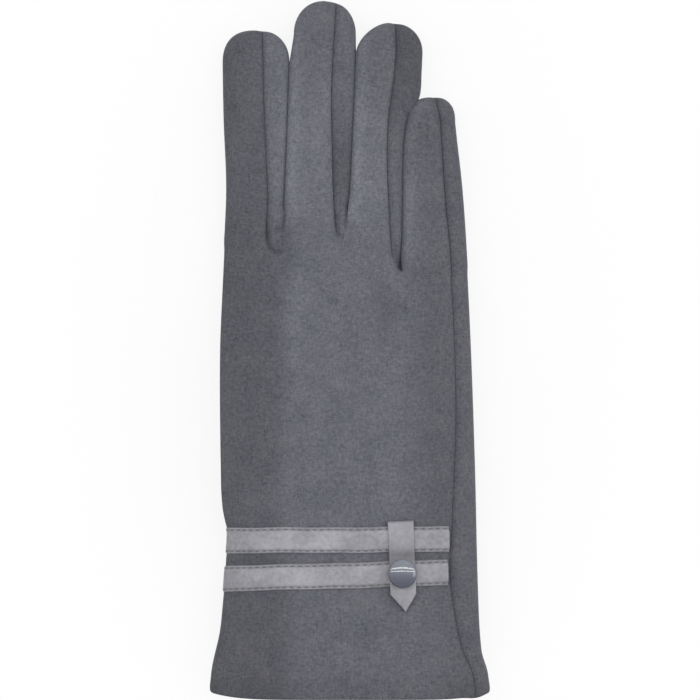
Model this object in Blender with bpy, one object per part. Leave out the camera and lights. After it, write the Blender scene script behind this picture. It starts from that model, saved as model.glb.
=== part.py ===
"""Touchscreen glove for the right hand, lying palm down with the thumb folded under the palm.

Metres, +Z up. +Y runs to the fingertips and +X to the little finger. The origin is under the
middle of the glove, on the table. Cloth pieces are sheets with thickness, laid over shared
surfaces, so that neighbours meet at a seam with a small gap.
"""

import math

import bmesh
import bpy
from mathutils import Matrix, Vector

MM = 0.001

# Overall sizes
HAND_LENGTH = 156.0 * MM
INDEX_LENGTH = 73.8 * MM
MIDDLE_LENGTH = 84.0 * MM
RING_LENGTH = 76.4 * MM
LITTLE_LENGTH = 50.9 * MM
HEM_WIDTH = 96.0 * MM
CUFF_WIDTH = 89.4 * MM
WRIST_WIDTH = 86.3 * MM
PALM_WIDTH = 86.6 * MM
KNUCKLE_WIDTH = 83.2 * MM

# Heights above the table
HAND_TOP = 18.6 * MM
KNUCKLE_TOP = 14.0 * MM
KNUCKLE_RISE = 1.2 * MM
FINGERTIP_BOTTOM = 0.9 * MM
FINGERTIP_TOP = 11.6 * MM
REST_FLAT = 0.25 * MM

# Cloth
CLOTH = 0.8 * MM
LINING = 0.6 * MM
LAYER_GAP = 0.3 * MM
LINING_GAP = 0.45 * MM
SEAM_GAP = 0.35 * MM
LANE_GAP = 0.6 * MM
JOINT_GAP = 0.4 * MM
LINING_STEP = 1.0 * MM

# Sections: the higher the squareness, the flatter the top and the rounder the corners
HAND_SQUARENESS = 3.4
FINGER_SQUARENESS = 2.4
THUMB_SQUARENESS = 2.6
FORK_DIP = 2.0 * MM
FORK_DIP_WIDTH = 3.2 * MM
FORK_DIP_LENGTH = 16.0 * MM

# Hem and left seam of the hand
HEM_CORNER = 2.2 * MM
HEM_CORNER_POWER = 6
LEFT_SEAM_INSET = 9.0 * MM

# Seams of the fingers, as angles round the section from the little finger side
SEAM_TOP_RIGHT = math.radians(72)
SEAM_TOP_RIGHT_AT_FORK = math.radians(45)
SEAM_UNDER_RIGHT = math.radians(-18)
SEAM_UNDER_LEFT = math.radians(188)
SEAM_PALM_LEFT = math.radians(245)
SEAM_INDEX_SIDE = math.radians(228)
FINGERTIP_END = math.radians(80)

# Thumb, folded under the palm
THUMB_LENGTH = 57.0 * MM
THUMB_WIDTH = 25.0 * MM
THUMB_TIP_WIDTH = 22.0 * MM
THUMB_THICKNESS = 9.4 * MM
THUMB_TIP_THICKNESS = 8.6 * MM
THUMB_TURN = math.radians(35)
THUMB_ROOT_X = -37.0 * MM
THUMB_ROOT_ABOVE_HEM = 96.0 * MM
THUMB_TIP_CAP = 9.0 * MM
THUMB_BASE_CAP = 3.6 * MM
THUMB_END = math.radians(72)
THUMB_CLEARANCE = 0.8 * MM
THUMB_SLOPE = 15.5 * MM
THUMB_FOLD_OUTSIDE = 6.6 * MM
THUMB_HOLE_LENGTH = 27.0 * MM
THUMB_HOLE_WIDTH = 11.0 * MM
THUMB_HOLE_TURN = math.radians(15)
THUMB_HOLE_FROM_ROOT = 5.0 * MM

# Wrist trim
BAND_WIDTH = 8.7 * MM
BAND_THICKNESS = 0.8 * MM
UPPER_BAND_ABOVE_HEM = 54.6 * MM
LOWER_BAND_ABOVE_HEM = 42.3 * MM
UPPER_BAND_SLOPE = 0.010
LOWER_BAND_SLOPE = 0.033
STITCH_INSET = 0.9 * MM
THREAD = 0.4 * MM

# Tab and button
TAB_WIDTH = 8.9 * MM
TAB_THICKNESS = 0.9 * MM
TAB_ABOVE_BUTTON = 17.6 * MM
TAB_BELOW_BUTTON = 7.4 * MM
TAB_POINT = 6.4 * MM
TAB_LEAN = math.radians(2.0)
BUTTON_X = 18.0 * MM
BUTTON_DIAMETER = 9.9 * MM
BUTTON_HEIGHT = 3.2 * MM
BUTTON_RIM = 0.7 * MM
RIVET_STEM_DIAMETER = 2.4 * MM
RIVET_BASE_DIAMETER = 6.0 * MM
RIVET_BASE_THICKNESS = 0.5 * MM
RIVET_HOLE_CLEARANCE = 0.3 * MM
RIVET_POCKET = 1.0 * MM
RIVET_POCKET_WIDTH = 9.0 * MM

# Touch pads
PAD_THICKNESS = 0.4 * MM
INDEX_PAD_FROM = 0.80
INDEX_PAD_TO = 1.45
THUMB_PAD_FROM = 0.72
THUMB_PAD_TO = 1.30
PAD_SPREAD = math.radians(66)

# Mesh fineness
HAND_COLUMNS = 26
STRIP_COLUMNS = 6
FOURCHETTE_COLUMNS = 3
FINGER_ROWS = 5
CAP_ROWS = 3
THUMB_COLUMNS = 16
TRIM_ROWS = 2
ROUND_SEGMENTS = 24
ARC_SAMPLES = 360
WELD = 0.00001

GLOVE_LENGTH = HAND_LENGTH + MIDDLE_LENGTH
HEM_Y = -GLOVE_LENGTH / 2
KNUCKLE_Y = HEM_Y + HAND_LENGTH
LINING_DEPTH = CLOTH + LINING_GAP
CENTRE_X = -1.0 * MM

# Edges and finger boundaries as points (Y, X), followed as smooth curves
LEFT_EDGE = (
    (HEM_Y, -HEM_WIDTH / 2),
    (HEM_Y + 10 * MM, -HEM_WIDTH / 2 + 0.4 * MM),
    (HEM_Y + 23 * MM, -CUFF_WIDTH / 2),
    (HEM_Y + 38 * MM, -CUFF_WIDTH / 2 + 1.0 * MM),
    (HEM_Y + 56 * MM, -WRIST_WIDTH / 2 + 0.7 * MM),
    (HEM_Y + 75 * MM, CENTRE_X - PALM_WIDTH / 2),
    (HEM_Y + 120 * MM, CENTRE_X - PALM_WIDTH / 2 - 0.3 * MM),
    (KNUCKLE_Y - 1 * MM, CENTRE_X - KNUCKLE_WIDTH / 2 - 0.6 * MM),
    (KNUCKLE_Y + 20 * MM, CENTRE_X - KNUCKLE_WIDTH / 2 + 0.2 * MM),
    (KNUCKLE_Y + 44 * MM, CENTRE_X - KNUCKLE_WIDTH / 2 - 0.7 * MM),
    (KNUCKLE_Y + 75 * MM, CENTRE_X - KNUCKLE_WIDTH / 2 - 1.2 * MM),
)
RIGHT_EDGE = (
    (HEM_Y, HEM_WIDTH / 2),
    (HEM_Y + 9 * MM, HEM_WIDTH / 2 - 0.6 * MM),
    (HEM_Y + 17 * MM, CUFF_WIDTH / 2 + 0.5 * MM),
    (HEM_Y + 38 * MM, CUFF_WIDTH / 2 - 0.7 * MM),
    (HEM_Y + 79 * MM, WRIST_WIDTH / 2 - 0.2 * MM),
    (HEM_Y + 120 * MM, CENTRE_X + PALM_WIDTH / 2 - 0.7 * MM),
    (KNUCKLE_Y - 1 * MM, CENTRE_X + KNUCKLE_WIDTH / 2 - 0.7 * MM),
    (KNUCKLE_Y + 20 * MM, CENTRE_X + KNUCKLE_WIDTH / 2 - 2.2 * MM),
    (KNUCKLE_Y + 42 * MM, CENTRE_X + KNUCKLE_WIDTH / 2 - 4.6 * MM),
    (KNUCKLE_Y + 54 * MM, CENTRE_X + KNUCKLE_WIDTH / 2 - 5.4 * MM),
)
INDEX_MIDDLE = (
    (KNUCKLE_Y - 6 * MM, -23.9 * MM),
    (KNUCKLE_Y, -23.5 * MM),
    (KNUCKLE_Y + 16 * MM, -22.5 * MM),
    (KNUCKLE_Y + 44 * MM, -21.4 * MM),
    (KNUCKLE_Y + 75 * MM, -20.7 * MM),
)
MIDDLE_RING = (
    (KNUCKLE_Y - 6 * MM, -3.2 * MM),
    (KNUCKLE_Y + 2 * MM, -2.4 * MM),
    (KNUCKLE_Y + 7 * MM, -1.2 * MM),
    (KNUCKLE_Y + 16 * MM, -0.2 * MM),
    (KNUCKLE_Y + 44 * MM, 1.2 * MM),
    (KNUCKLE_Y + 75 * MM, 2.5 * MM),
)
RING_LITTLE = (
    (KNUCKLE_Y - 16 * MM, 18.2 * MM),
    (KNUCKLE_Y - 9 * MM, 18.1 * MM),
    (KNUCKLE_Y + 4 * MM, 18.4 * MM),
    (KNUCKLE_Y + 24 * MM, 19.0 * MM),
    (KNUCKLE_Y + 36 * MM, 19.7 * MM),
    (KNUCKLE_Y + 44 * MM, 21.6 * MM),
    (KNUCKLE_Y + 54 * MM, 24.2 * MM),
    (KNUCKLE_Y + 75 * MM, 25.2 * MM),
)

# Seam between back and palm on the little finger side, as points (Y, X)
RIGHT_SEAM = (
    (HEM_Y, HEM_WIDTH / 2 - 4.4 * MM),
    (HEM_Y + 9 * MM, HEM_WIDTH / 2 - 5.4 * MM),
    (HEM_Y + 17 * MM, CUFF_WIDTH / 2 - 5.5 * MM),
    (HEM_Y + 29 * MM, CUFF_WIDTH / 2 - 8.1 * MM),
    (HEM_Y + 44 * MM, WRIST_WIDTH / 2 - 8.5 * MM),
    (HEM_Y + 62 * MM, WRIST_WIDTH / 2 - 7.5 * MM),
    (HEM_Y + 100 * MM, CENTRE_X + PALM_WIDTH / 2 - 5.4 * MM),
    (KNUCKLE_Y - 6 * MM, CENTRE_X + KNUCKLE_WIDTH / 2 - 5.5 * MM),
    (KNUCKLE_Y + 16 * MM, CENTRE_X + KNUCKLE_WIDTH / 2 - 7.6 * MM),
    (KNUCKLE_Y + 42 * MM, CENTRE_X + KNUCKLE_WIDTH / 2 - 9.2 * MM),
)

# Rows of the hand's cloth, as heights above the hem
HAND_ROWS = (
    0.0,
    5.0 * MM,
    12.0 * MM,
    24.0 * MM,
    LOWER_BAND_ABOVE_HEM - BAND_WIDTH * 0.7,
    LOWER_BAND_ABOVE_HEM,
    (LOWER_BAND_ABOVE_HEM + UPPER_BAND_ABOVE_HEM) / 2,
    UPPER_BAND_ABOVE_HEM,
    UPPER_BAND_ABOVE_HEM + BAND_WIDTH * 0.7,
    HAND_LENGTH * 0.50,
    HAND_LENGTH * 0.62,
    HAND_LENGTH * 0.74,
    HAND_LENGTH * 0.84,
    HAND_LENGTH * 0.93,
    HAND_LENGTH,
)

# Line of the finger roots, as points (X, Y)
ROOT_LINE = (
    (CENTRE_X - KNUCKLE_WIDTH / 2, KNUCKLE_Y - 2.5 * MM),
    (-23.5 * MM, KNUCKLE_Y),
    (-14.0 * MM, KNUCKLE_Y + 3.0 * MM),
    (-2.4 * MM, KNUCKLE_Y + 2.3 * MM),
    (8.0 * MM, KNUCKLE_Y - 2.5 * MM),
    (18.1 * MM, KNUCKLE_Y - 9.0 * MM),
    (29.0 * MM, KNUCKLE_Y - 10.5 * MM),
    (CENTRE_X + KNUCKLE_WIDTH / 2, KNUCKLE_Y - 11.0 * MM),
)

# Name, left and right boundary, tip and tip cap, for each finger
FINGERS = {
    "index": (LEFT_EDGE, INDEX_MIDDLE, KNUCKLE_Y + INDEX_LENGTH, 10.5 * MM),
    "middle": (INDEX_MIDDLE, MIDDLE_RING, KNUCKLE_Y + MIDDLE_LENGTH, 11.0 * MM),
    "ring": (MIDDLE_RING, RING_LITTLE, KNUCKLE_Y + RING_LENGTH, 10.5 * MM),
    "little": (RING_LITTLE, RIGHT_EDGE, KNUCKLE_Y + LITTLE_LENGTH, 8.5 * MM),
}


def ease(value, start, end):
    """0 before start, 1 after end, and a smooth rise between them."""
    t = min(max((value - start) / (end - start), 0.0), 1.0)
    return t * t * (3 - 2 * t)


def follow(points, place):
    """Height of the smooth curve through the points at the given place."""
    if place <= points[0][0]:
        return points[0][1]
    if place >= points[-1][0]:
        return points[-1][1]
    last = len(points) - 1
    k = max(i for i in range(last) if points[i][0] <= place)

    def slope(i):
        low, high = max(i - 1, 0), min(i + 1, last)
        return (points[high][1] - points[low][1]) / (points[high][0] - points[low][0])

    step = points[k + 1][0] - points[k][0]
    t = (place - points[k][0]) / step
    rise = t * t * (3 - 2 * t)
    leave = t * (1 - t) * (1 - t) * step * slope(k)
    arrive = t * t * (1 - t) * step * slope(k + 1)
    return points[k][1] * (1 - rise) + points[k + 1][1] * rise + leave - arrive


class Section:
    """A rounded outline of half width 1 and half height 1, walked by angle or by length."""

    def __init__(self, squareness, aspect):
        self.power = 2 / squareness
        self.squareness = squareness
        self.angles = [2 * math.pi * i / ARC_SAMPLES for i in range(ARC_SAMPLES + 1)]
        self.lengths = [0.0]
        for before, after in zip(self.angles, self.angles[1:]):
            x0, z0 = self.point(before)
            x1, z1 = self.point(after)
            step = math.hypot(x1 - x0, (z1 - z0) * aspect)
            self.lengths.append(self.lengths[-1] + step)

    def point(self, angle):
        c, s = math.cos(angle), math.sin(angle)
        x = math.copysign(abs(c) ** self.power, c)
        z = math.copysign(abs(s) ** self.power, s)
        return x, z

    def height(self, across):
        inside = max(1 - abs(across) ** self.squareness, 0.0)
        return inside ** (1 / self.squareness)

    def top_angle(self, across):
        """Angle on the top half at which the outline is that far across."""
        c = math.copysign(abs(across) ** (1 / self.power), across)
        return math.acos(min(max(c, -1.0), 1.0))

    def length_at(self, angle):
        turns = math.floor(angle / (2 * math.pi))
        rest = (angle - turns * 2 * math.pi) / (2 * math.pi) * ARC_SAMPLES
        i = min(int(rest), ARC_SAMPLES - 1)
        part = self.lengths[i] + (self.lengths[i + 1] - self.lengths[i]) * (rest - i)
        return turns * self.lengths[-1] + part

    def angle_at(self, length):
        turns = math.floor(length / self.lengths[-1])
        rest = length - turns * self.lengths[-1]
        i = max(k for k in range(ARC_SAMPLES) if self.lengths[k] <= rest)
        part = (rest - self.lengths[i]) / (self.lengths[i + 1] - self.lengths[i])
        return turns * 2 * math.pi + self.angles[i] + (self.angles[i + 1] - self.angles[i]) * part

    def between(self, start, end, share):
        """Angle at a share of the way round from start to end, by length."""
        low, high = self.length_at(start), self.length_at(end)
        return self.angle_at(low + (high - low) * share)


HAND = Section(HAND_SQUARENESS, HAND_TOP / PALM_WIDTH)
FINGER = Section(FINGER_SQUARENESS, 0.55)
THUMB = Section(THUMB_SQUARENESS, THUMB_THICKNESS / THUMB_WIDTH)

THUMB_AHEAD = Vector((math.sin(THUMB_TURN), math.cos(THUMB_TURN), 0))
THUMB_SIDE = Vector((math.cos(THUMB_TURN), -math.sin(THUMB_TURN), 0))
THUMB_ROOT = Vector((THUMB_ROOT_X, HEM_Y + THUMB_ROOT_ABOVE_HEM, THUMB_THICKNESS / 2))
THUMB_LIFT = THUMB_THICKNESS + THUMB_CLEARANCE
THUMB_ROOT_HALF = THUMB_WIDTH / 2 / THUMB_AHEAD.x


def thumb_distance(x, y):
    """Distance in plan outside the thumb, measured from its centre line and its root line."""
    away = Vector((x, y, THUMB_ROOT.z)) - THUMB_ROOT
    reach = min(max(away.dot(THUMB_AHEAD), 0.0), THUMB_LENGTH - THUMB_TIP_WIDTH / 2)
    from_middle = (away - THUMB_AHEAD * reach).length - THUMB_WIDTH / 2
    beside = max(abs(away.y) - THUMB_ROOT_HALF, 0.0)
    from_root = math.hypot(away.x, beside) - THUMB_BASE_CAP
    return max(min(from_middle, from_root), 0.0)


def root_y(x):
    return follow(ROOT_LINE, x)


def fork_dip(x, y):
    """Share of the dip between finger lanes near the finger roots."""
    near = ease(y, root_y(x) - FORK_DIP_LENGTH, root_y(x))
    dip = 0.0
    for line in (INDEX_MIDDLE, MIDDLE_RING, RING_LITTLE):
        away = (x - follow(line, y)) / FORK_DIP_WIDTH
        dip += math.exp(-away * away)
    return near * dip


def hand_top(y):
    return HAND_TOP - (HAND_TOP - KNUCKLE_TOP) * ease(y, HEM_Y + HAND_LENGTH * 0.72, KNUCKLE_Y)


def hand_bottom(x, y):
    """Underside of the hand, lifted where the thumb lies under it."""
    near = 1 - ease(thumb_distance(x, y), 0.0, THUMB_SLOPE)
    rise = KNUCKLE_RISE * ease(y, root_y(x) - FORK_DIP_LENGTH, root_y(x))
    return THUMB_LIFT * near + rise - REST_FLAT


def hand_width(y):
    left, right = follow(LEFT_EDGE, y), follow(RIGHT_EDGE, y)
    return (left + right) / 2, (right - left) / 2


def hand_point(angle, y, depth):
    """Point of the hand's sleeve, depth below its outer surface."""
    across, up = HAND.point(angle)
    centre, half = hand_width(y)
    x = centre + (half - depth) * across
    top, bottom = hand_top(y), hand_bottom(x, y)
    middle = (top + bottom) / 2
    dip = fork_dip(x, y) * FORK_DIP
    if up > 0:
        z = middle + (top - dip - depth - middle) * up
    else:
        z = middle + (middle - bottom - dip / 2 - depth) * up
    return Vector((x, y, max(z, 0.0)))


def hand_row(share):
    """Share of the hand's length at a share of its rows."""
    row = share * (len(HAND_ROWS) - 1)
    low = min(int(row), len(HAND_ROWS) - 2)
    height = HAND_ROWS[low] + (HAND_ROWS[low + 1] - HAND_ROWS[low]) * (row - low)
    return height / HAND_LENGTH


def hand_y(angle, share, start_gap, end_gap):
    """Y of a point that share of the way from the hem to the finger roots."""
    across, _ = HAND.point(angle)
    centre, half = hand_width(KNUCKLE_Y)
    start = HEM_Y + HEM_CORNER * abs(across) ** HEM_CORNER_POWER + start_gap
    end = root_y(centre + half * across) - end_gap
    return start + (end - start) * share


def right_seam(y):
    centre, half = hand_width(y)
    return HAND.top_angle((follow(RIGHT_SEAM, y) - centre) / half)


def left_seam(y):
    _, half = hand_width(y)
    return 2 * math.pi - HAND.top_angle(-1 + LEFT_SEAM_INSET / half)


def right_seam_again(y):
    return right_seam(y) + 2 * math.pi


HAND_PANELS = {
    "back_panel": (right_seam, left_seam),
    "palm_panel": (left_seam, right_seam_again),
}


class Finger:
    """One finger: its lane, its heights and its surface."""

    def __init__(self, name):
        self.name = name
        self.left, self.right, self.tip, self.cap = FINGERS[name]
        self.shoulder = self.tip - self.cap
        centre, half = self.lane(KNUCKLE_Y)
        self.root = root_y(centre)
        centre, half = self.lane(self.root)
        self.root_centre, self.root_half = centre, half
        hand_centre, hand_half = hand_width(self.root)
        top, bottom = hand_top(self.root), hand_bottom(centre, self.root)
        crown = HAND.height((centre - hand_centre) / hand_half)
        middle = (top + bottom) / 2
        self.root_top = middle + (top - middle) * crown
        self.root_bottom = middle - (middle - bottom) * crown
        self.hinge = Vector((centre, self.root, self.root_bottom))

    def lane(self, y):
        left, right = follow(self.left, y), follow(self.right, y)
        outer_left = 0 if self.name == "index" else LANE_GAP / 2
        outer_right = 0 if self.name == "little" else LANE_GAP / 2
        left, right = left + outer_left, right - outer_right
        return (left + right) / 2, (right - left) / 2

    def point(self, angle, along, depth):
        """along is 0 at the root, 1 where the tip cap starts and 2 at the tip."""
        across, up = FINGER.point(angle)
        start = root_y(self.root_centre + self.root_half * across) + JOINT_GAP / 2
        y = start + (self.shoulder - start) * min(along, 1.0)
        centre, half = self.lane(y)
        share = ease(y, self.root, self.shoulder)
        top = self.root_top + (FINGERTIP_TOP - self.root_top) * share
        bottom = self.root_bottom + (FINGERTIP_BOTTOM - self.root_bottom) * share
        turn = max(along - 1, 0.0) * math.pi / 2
        x = centre + (half - depth) * across * math.cos(turn)
        y += (self.cap - depth) * math.sin(turn)
        z = (top + bottom) / 2 + ((top - bottom) / 2 - depth) * up * math.cos(turn)
        return Vector((x, y, z))

    def top_right_seam(self, along):
        wide = ease(along, 0.0, 0.35)
        return SEAM_TOP_RIGHT_AT_FORK + (SEAM_TOP_RIGHT - SEAM_TOP_RIGHT_AT_FORK) * wide

    def little_side_seam(self, along):
        y = self.root + (self.shoulder - self.root) * min(along, 1.0)
        centre, half = self.lane(y)
        return FINGER.top_angle((follow(RIGHT_SEAM, y) - centre) / half)

    def strips(self):
        """Name, start seam, end seam and columns of each strip, in order round the finger."""
        turn = 2 * math.pi

        def steady(angle):
            return lambda along: angle

        name, wide, narrow = self.name, STRIP_COLUMNS, FOURCHETTE_COLUMNS
        right, under = self.top_right_seam, steady(SEAM_UNDER_RIGHT + turn)
        right_again = lambda along: self.top_right_seam(along) + turn
        left, palm = steady(SEAM_UNDER_LEFT), steady(SEAM_PALM_LEFT)
        if name == "index":
            side = steady(SEAM_INDEX_SIDE)
            return (
                ("index_back", right, side, wide),
                ("index_palm", side, under, wide),
                ("index_fourchette", under, right_again, narrow),
            )
        if name == "little":
            side = self.little_side_seam
            side_again = lambda along: self.little_side_seam(along) + turn
            return (
                ("little_back", side, left, wide),
                ("little_fourchette", left, palm, narrow),
                ("little_palm", palm, side_again, wide),
            )
        return (
            (name + "_back", right, left, wide),
            (name + "_fourchette_left", left, palm, narrow),
            (name + "_palm", palm, under, wide),
            (name + "_fourchette_right", under, right_again, narrow),
        )

    def seam_turn(self, angle):
        """Half a seam gap as an angle round the section."""
        half_height = (self.root_top - self.root_bottom) / 2
        rate = math.hypot(self.root_half * math.sin(angle), half_height * math.cos(angle))
        return SEAM_GAP / 2 / rate


def thumb_half(along):
    share = ease(along, 0.0, 1.0)
    return (THUMB_WIDTH + (THUMB_TIP_WIDTH - THUMB_WIDTH) * share) / 2


def thumb_point(angle, along, depth):
    """along is -1 at the base edge, 0 and 1 at the ends of the straight run and 2 at the tip."""
    across, up = THUMB.point(angle)
    straight = min(max(along, 0.0), 1.0)
    half = thumb_half(straight) - depth
    start = -half * across * THUMB_SIDE.x / THUMB_AHEAD.x
    end = THUMB_LENGTH - THUMB_TIP_CAP
    reach = start + (end - start) * straight
    whole = THUMB_THICKNESS + (THUMB_TIP_THICKNESS - THUMB_THICKNESS) * straight
    thick = whole / 2 - depth
    if along > 1:
        turn = (along - 1) * math.pi / 2
        reach += (THUMB_TIP_CAP - depth) * math.sin(turn)
        half *= math.cos(turn)
        thick *= math.cos(turn)
    elif along < 0:
        turn = -along * math.pi / 2
        reach -= (THUMB_BASE_CAP - depth) * math.sin(turn) / THUMB_AHEAD.x
        thick *= math.cos(turn)
    place = THUMB_ROOT + THUMB_AHEAD * reach + THUMB_SIDE * (half * across)
    place.z = whole / 2 + thick * up
    return place


def rivet_pocket(x, y):
    """Extra room for the rivet's base between the cloth and the lining."""
    away = math.hypot(x - BUTTON_X, y - button_y())
    return RIVET_POCKET * (1 - ease(away, RIVET_BASE_DIAMETER / 2, RIVET_POCKET_WIDTH))


def band_centre(x, above_hem, slope):
    return HEM_Y + above_hem + slope * x


def button_y():
    return band_centre(BUTTON_X, LOWER_BAND_ABOVE_HEM, LOWER_BAND_SLOPE) + 0.6 * MM


def back_surface(x, y):
    """Height of the back cloth at a place in plan."""
    centre, half = hand_width(y)
    top, bottom = hand_top(y), hand_bottom(x, y)
    middle = (top + bottom) / 2
    return middle + (top - middle) * HAND.height((x - centre) / half)


def clear_scene():
    for obj in list(bpy.data.objects):
        bpy.data.objects.remove(obj, do_unlink=True)


def material(name, colour, roughness, metallic=0.0):
    made = bpy.data.materials.new(name)
    made.use_nodes = True
    shader = made.node_tree.nodes["Principled BSDF"]
    shader.inputs["Base Color"].default_value = (*colour, 1.0)
    shader.inputs["Roughness"].default_value = roughness
    shader.inputs["Metallic"].default_value = metallic
    return made


def add_object(name, bm, look, hinge=None, smooth=True):
    """Object from a finished mesh in world places, hung on its hinge if it has one."""
    bmesh.ops.recalc_face_normals(bm, faces=bm.faces)
    if bm.calc_volume(signed=True) < 0:
        bmesh.ops.reverse_faces(bm, faces=bm.faces)
    if hinge:
        bmesh.ops.translate(bm, verts=bm.verts, vec=-hinge.location)
    mesh = bpy.data.meshes.new(name)
    bm.to_mesh(mesh)
    bm.free()
    for face in mesh.polygons:
        face.use_smooth = smooth
    mesh.materials.append(look)
    obj = bpy.data.objects.new(name, mesh)
    bpy.context.scene.collection.objects.link(obj)
    obj.parent = hinge
    return obj


def add_hinge(name, place):
    hinge = bpy.data.objects.new(name, None)
    hinge.location = place
    bpy.context.scene.collection.objects.link(hinge)
    return hinge


def unit_sheet(columns, rows):
    """Flat block over the unit square, one unit thick, split alike on both faces."""
    bm = bmesh.new()
    bmesh.ops.create_grid(bm, x_segments=columns, y_segments=rows, size=0.5)
    bmesh.ops.triangulate(bm, faces=bm.faces[:], quad_method="FIXED")
    bmesh.ops.translate(bm, verts=bm.verts, vec=(0.5, 0.5, 0.0))
    made = bmesh.ops.extrude_face_region(bm, geom=bm.faces[:])
    lifted = [item for item in made["geom"] if isinstance(item, bmesh.types.BMVert)]
    bmesh.ops.translate(bm, verts=lifted, vec=(0.0, 0.0, 1.0))
    return bm


def lay(bm, place):
    """Move every vertex of a unit sheet to its place(across, along, through)."""
    for vert in bm.verts:
        vert.co = place(vert.co.x, vert.co.y, vert.co.z)


def close_round(bm):
    """Open the two long edges of a unit sheet, so that they weld into a tube once laid."""
    ends = [f for f in bm.faces if abs(f.normal.x) > 0.5]
    bmesh.ops.delete(bm, geom=ends, context="FACES")


def weld(bm):
    bmesh.ops.remove_doubles(bm, verts=bm.verts, dist=WELD)


def prism_cutter(name, outline, low, high):
    """Hidden upright cutter over a plan outline."""
    bm = bmesh.new()
    ring = bmesh.ops.create_circle(bm, cap_ends=True, segments=ROUND_SEGMENTS, radius=1.0)
    for vert in ring["verts"]:
        vert.co = outline(math.atan2(vert.co.y, vert.co.x)).to_3d()
        vert.co.z = low
    made = bmesh.ops.extrude_face_region(bm, geom=bm.faces[:])
    lifted = [item for item in made["geom"] if isinstance(item, bmesh.types.BMVert)]
    bmesh.ops.translate(bm, verts=lifted, vec=(0.0, 0.0, high - low))
    bmesh.ops.recalc_face_normals(bm, faces=bm.faces)
    mesh = bpy.data.meshes.new(name)
    bm.to_mesh(mesh)
    bm.free()
    cutter = bpy.data.objects.new(name, mesh)
    bpy.context.scene.collection.objects.link(cutter)
    cutter.hide_render = True
    cutter.display_type = "WIRE"
    return cutter


def cut(obj, cutter):
    change = obj.modifiers.new(cutter.name, "BOOLEAN")
    change.operation = "DIFFERENCE"
    change.solver = "EXACT"
    change.object = cutter


def thumb_hole_outline(angle):
    """Oval between the hand and the thumb, set near the thumb's root."""
    centre = THUMB_ROOT.to_2d() + Vector((THUMB_HOLE_FROM_ROOT, 0))
    ahead = Vector((math.sin(THUMB_HOLE_TURN), math.cos(THUMB_HOLE_TURN)))
    side = Vector((ahead.y, -ahead.x))
    length = ahead * (THUMB_HOLE_LENGTH / 2 * math.sin(angle))
    return centre + length + side * (THUMB_HOLE_WIDTH / 2 * math.cos(angle))


def rivet_hole_outline(angle):
    radius = RIVET_STEM_DIAMETER / 2 + RIVET_HOLE_CLEARANCE
    return Vector((BUTTON_X + radius * math.cos(angle), button_y() + radius * math.sin(angle)))


def hand_panel(name, look):
    """Sheet of the hand between two seams, from the hem to the finger roots."""
    start, end = HAND_PANELS[name]
    turn = SEAM_GAP / HAND_TOP

    def place(across, along, through):
        share = hand_row(along)
        y = HEM_Y + HAND_LENGTH * share
        angle = HAND.between(start(y) + turn, end(y) - turn, across)
        return hand_point(angle, hand_y(angle, share, 0.0, JOINT_GAP / 2), CLOTH * through)

    bm = unit_sheet(HAND_COLUMNS, len(HAND_ROWS) - 1)
    lay(bm, place)
    return add_object(name, bm, look)


def hand_lining(look):
    """Sleeve inside both panels, with their rows and columns."""

    def place(across, along, through):
        share = hand_row(along)
        y = HEM_Y + HAND_LENGTH * share
        if across <= 0.5:
            angle = HAND.between(right_seam(y), left_seam(y), across * 2)
        else:
            angle = HAND.between(left_seam(y), right_seam_again(y), across * 2 - 1)
        y = hand_y(angle, share, LINING_STEP, JOINT_GAP / 2)
        outer = hand_point(angle, y, LINING_DEPTH)
        extra = rivet_pocket(outer.x, outer.y) if math.sin(angle) > 0 else 0.0
        return hand_point(angle, y, LINING_DEPTH + extra + LINING * through)

    bm = unit_sheet(HAND_COLUMNS * 2, len(HAND_ROWS) - 1)
    close_round(bm)
    lay(bm, place)
    weld(bm)
    return add_object("hand_lining", bm, look)


def finger_rows(share):
    """Spread of rows: the straight run first, then the tip cap."""
    rows = FINGER_ROWS + CAP_ROWS
    row = share * rows
    if row <= FINGER_ROWS:
        return row / FINGER_ROWS
    return 1 + (row - FINGER_ROWS) / CAP_ROWS * FINGERTIP_END / (math.pi / 2)


def finger_strip(name, finger, look, hinge, columns, start, end):
    def place(across, along, through):
        run = finger_rows(along)
        low, high = start(run), end(run)
        low += finger.seam_turn(low)
        high -= finger.seam_turn(high)
        return finger.point(FINGER.between(low, high, across), run, CLOTH * through)

    bm = unit_sheet(columns, FINGER_ROWS + CAP_ROWS)
    lay(bm, place)
    return add_object(name, bm, look, hinge)


def finger_lining(finger, look, hinge):
    """Tube inside the strips, with their rows and columns."""
    strips = finger.strips()
    total = sum(strip[3] for strip in strips)

    def place(across, along, through):
        run = finger_rows(along)
        column = across * total
        for _, start, end, columns in strips:
            if column <= columns + WELD:
                break
            column -= columns
        angle = FINGER.between(start(run), end(run), min(column / columns, 1.0))
        return finger.point(angle, run, LINING_DEPTH + LINING * through)

    bm = unit_sheet(total, FINGER_ROWS + CAP_ROWS)
    close_round(bm)
    lay(bm, place)
    weld(bm)
    return add_object(finger.name + "_lining", bm, look, hinge)


def build_finger(name, looks):
    finger = Finger(name)
    hinge = add_hinge(name + "_hinge", finger.hinge)
    for strip, start, end, columns in finger.strips():
        finger_strip(strip, finger, looks["cloth"], hinge, columns, start, end)
    finger_lining(finger, looks["lining"], hinge)
    return finger, hinge


def touch_pad(name, look, hinge, point, run_from, run_to, middle_angle):
    """Thin patch laid on the outside of a fingertip."""

    def place(across, along, through):
        angle = middle_angle + PAD_SPREAD * (across - 0.5)
        run = run_from + (run_to - run_from) * along
        return point(angle, run, -LAYER_GAP - PAD_THICKNESS * through)

    bm = unit_sheet(4, 5)
    lay(bm, place)
    return add_object(name, bm, look, hinge)


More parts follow.
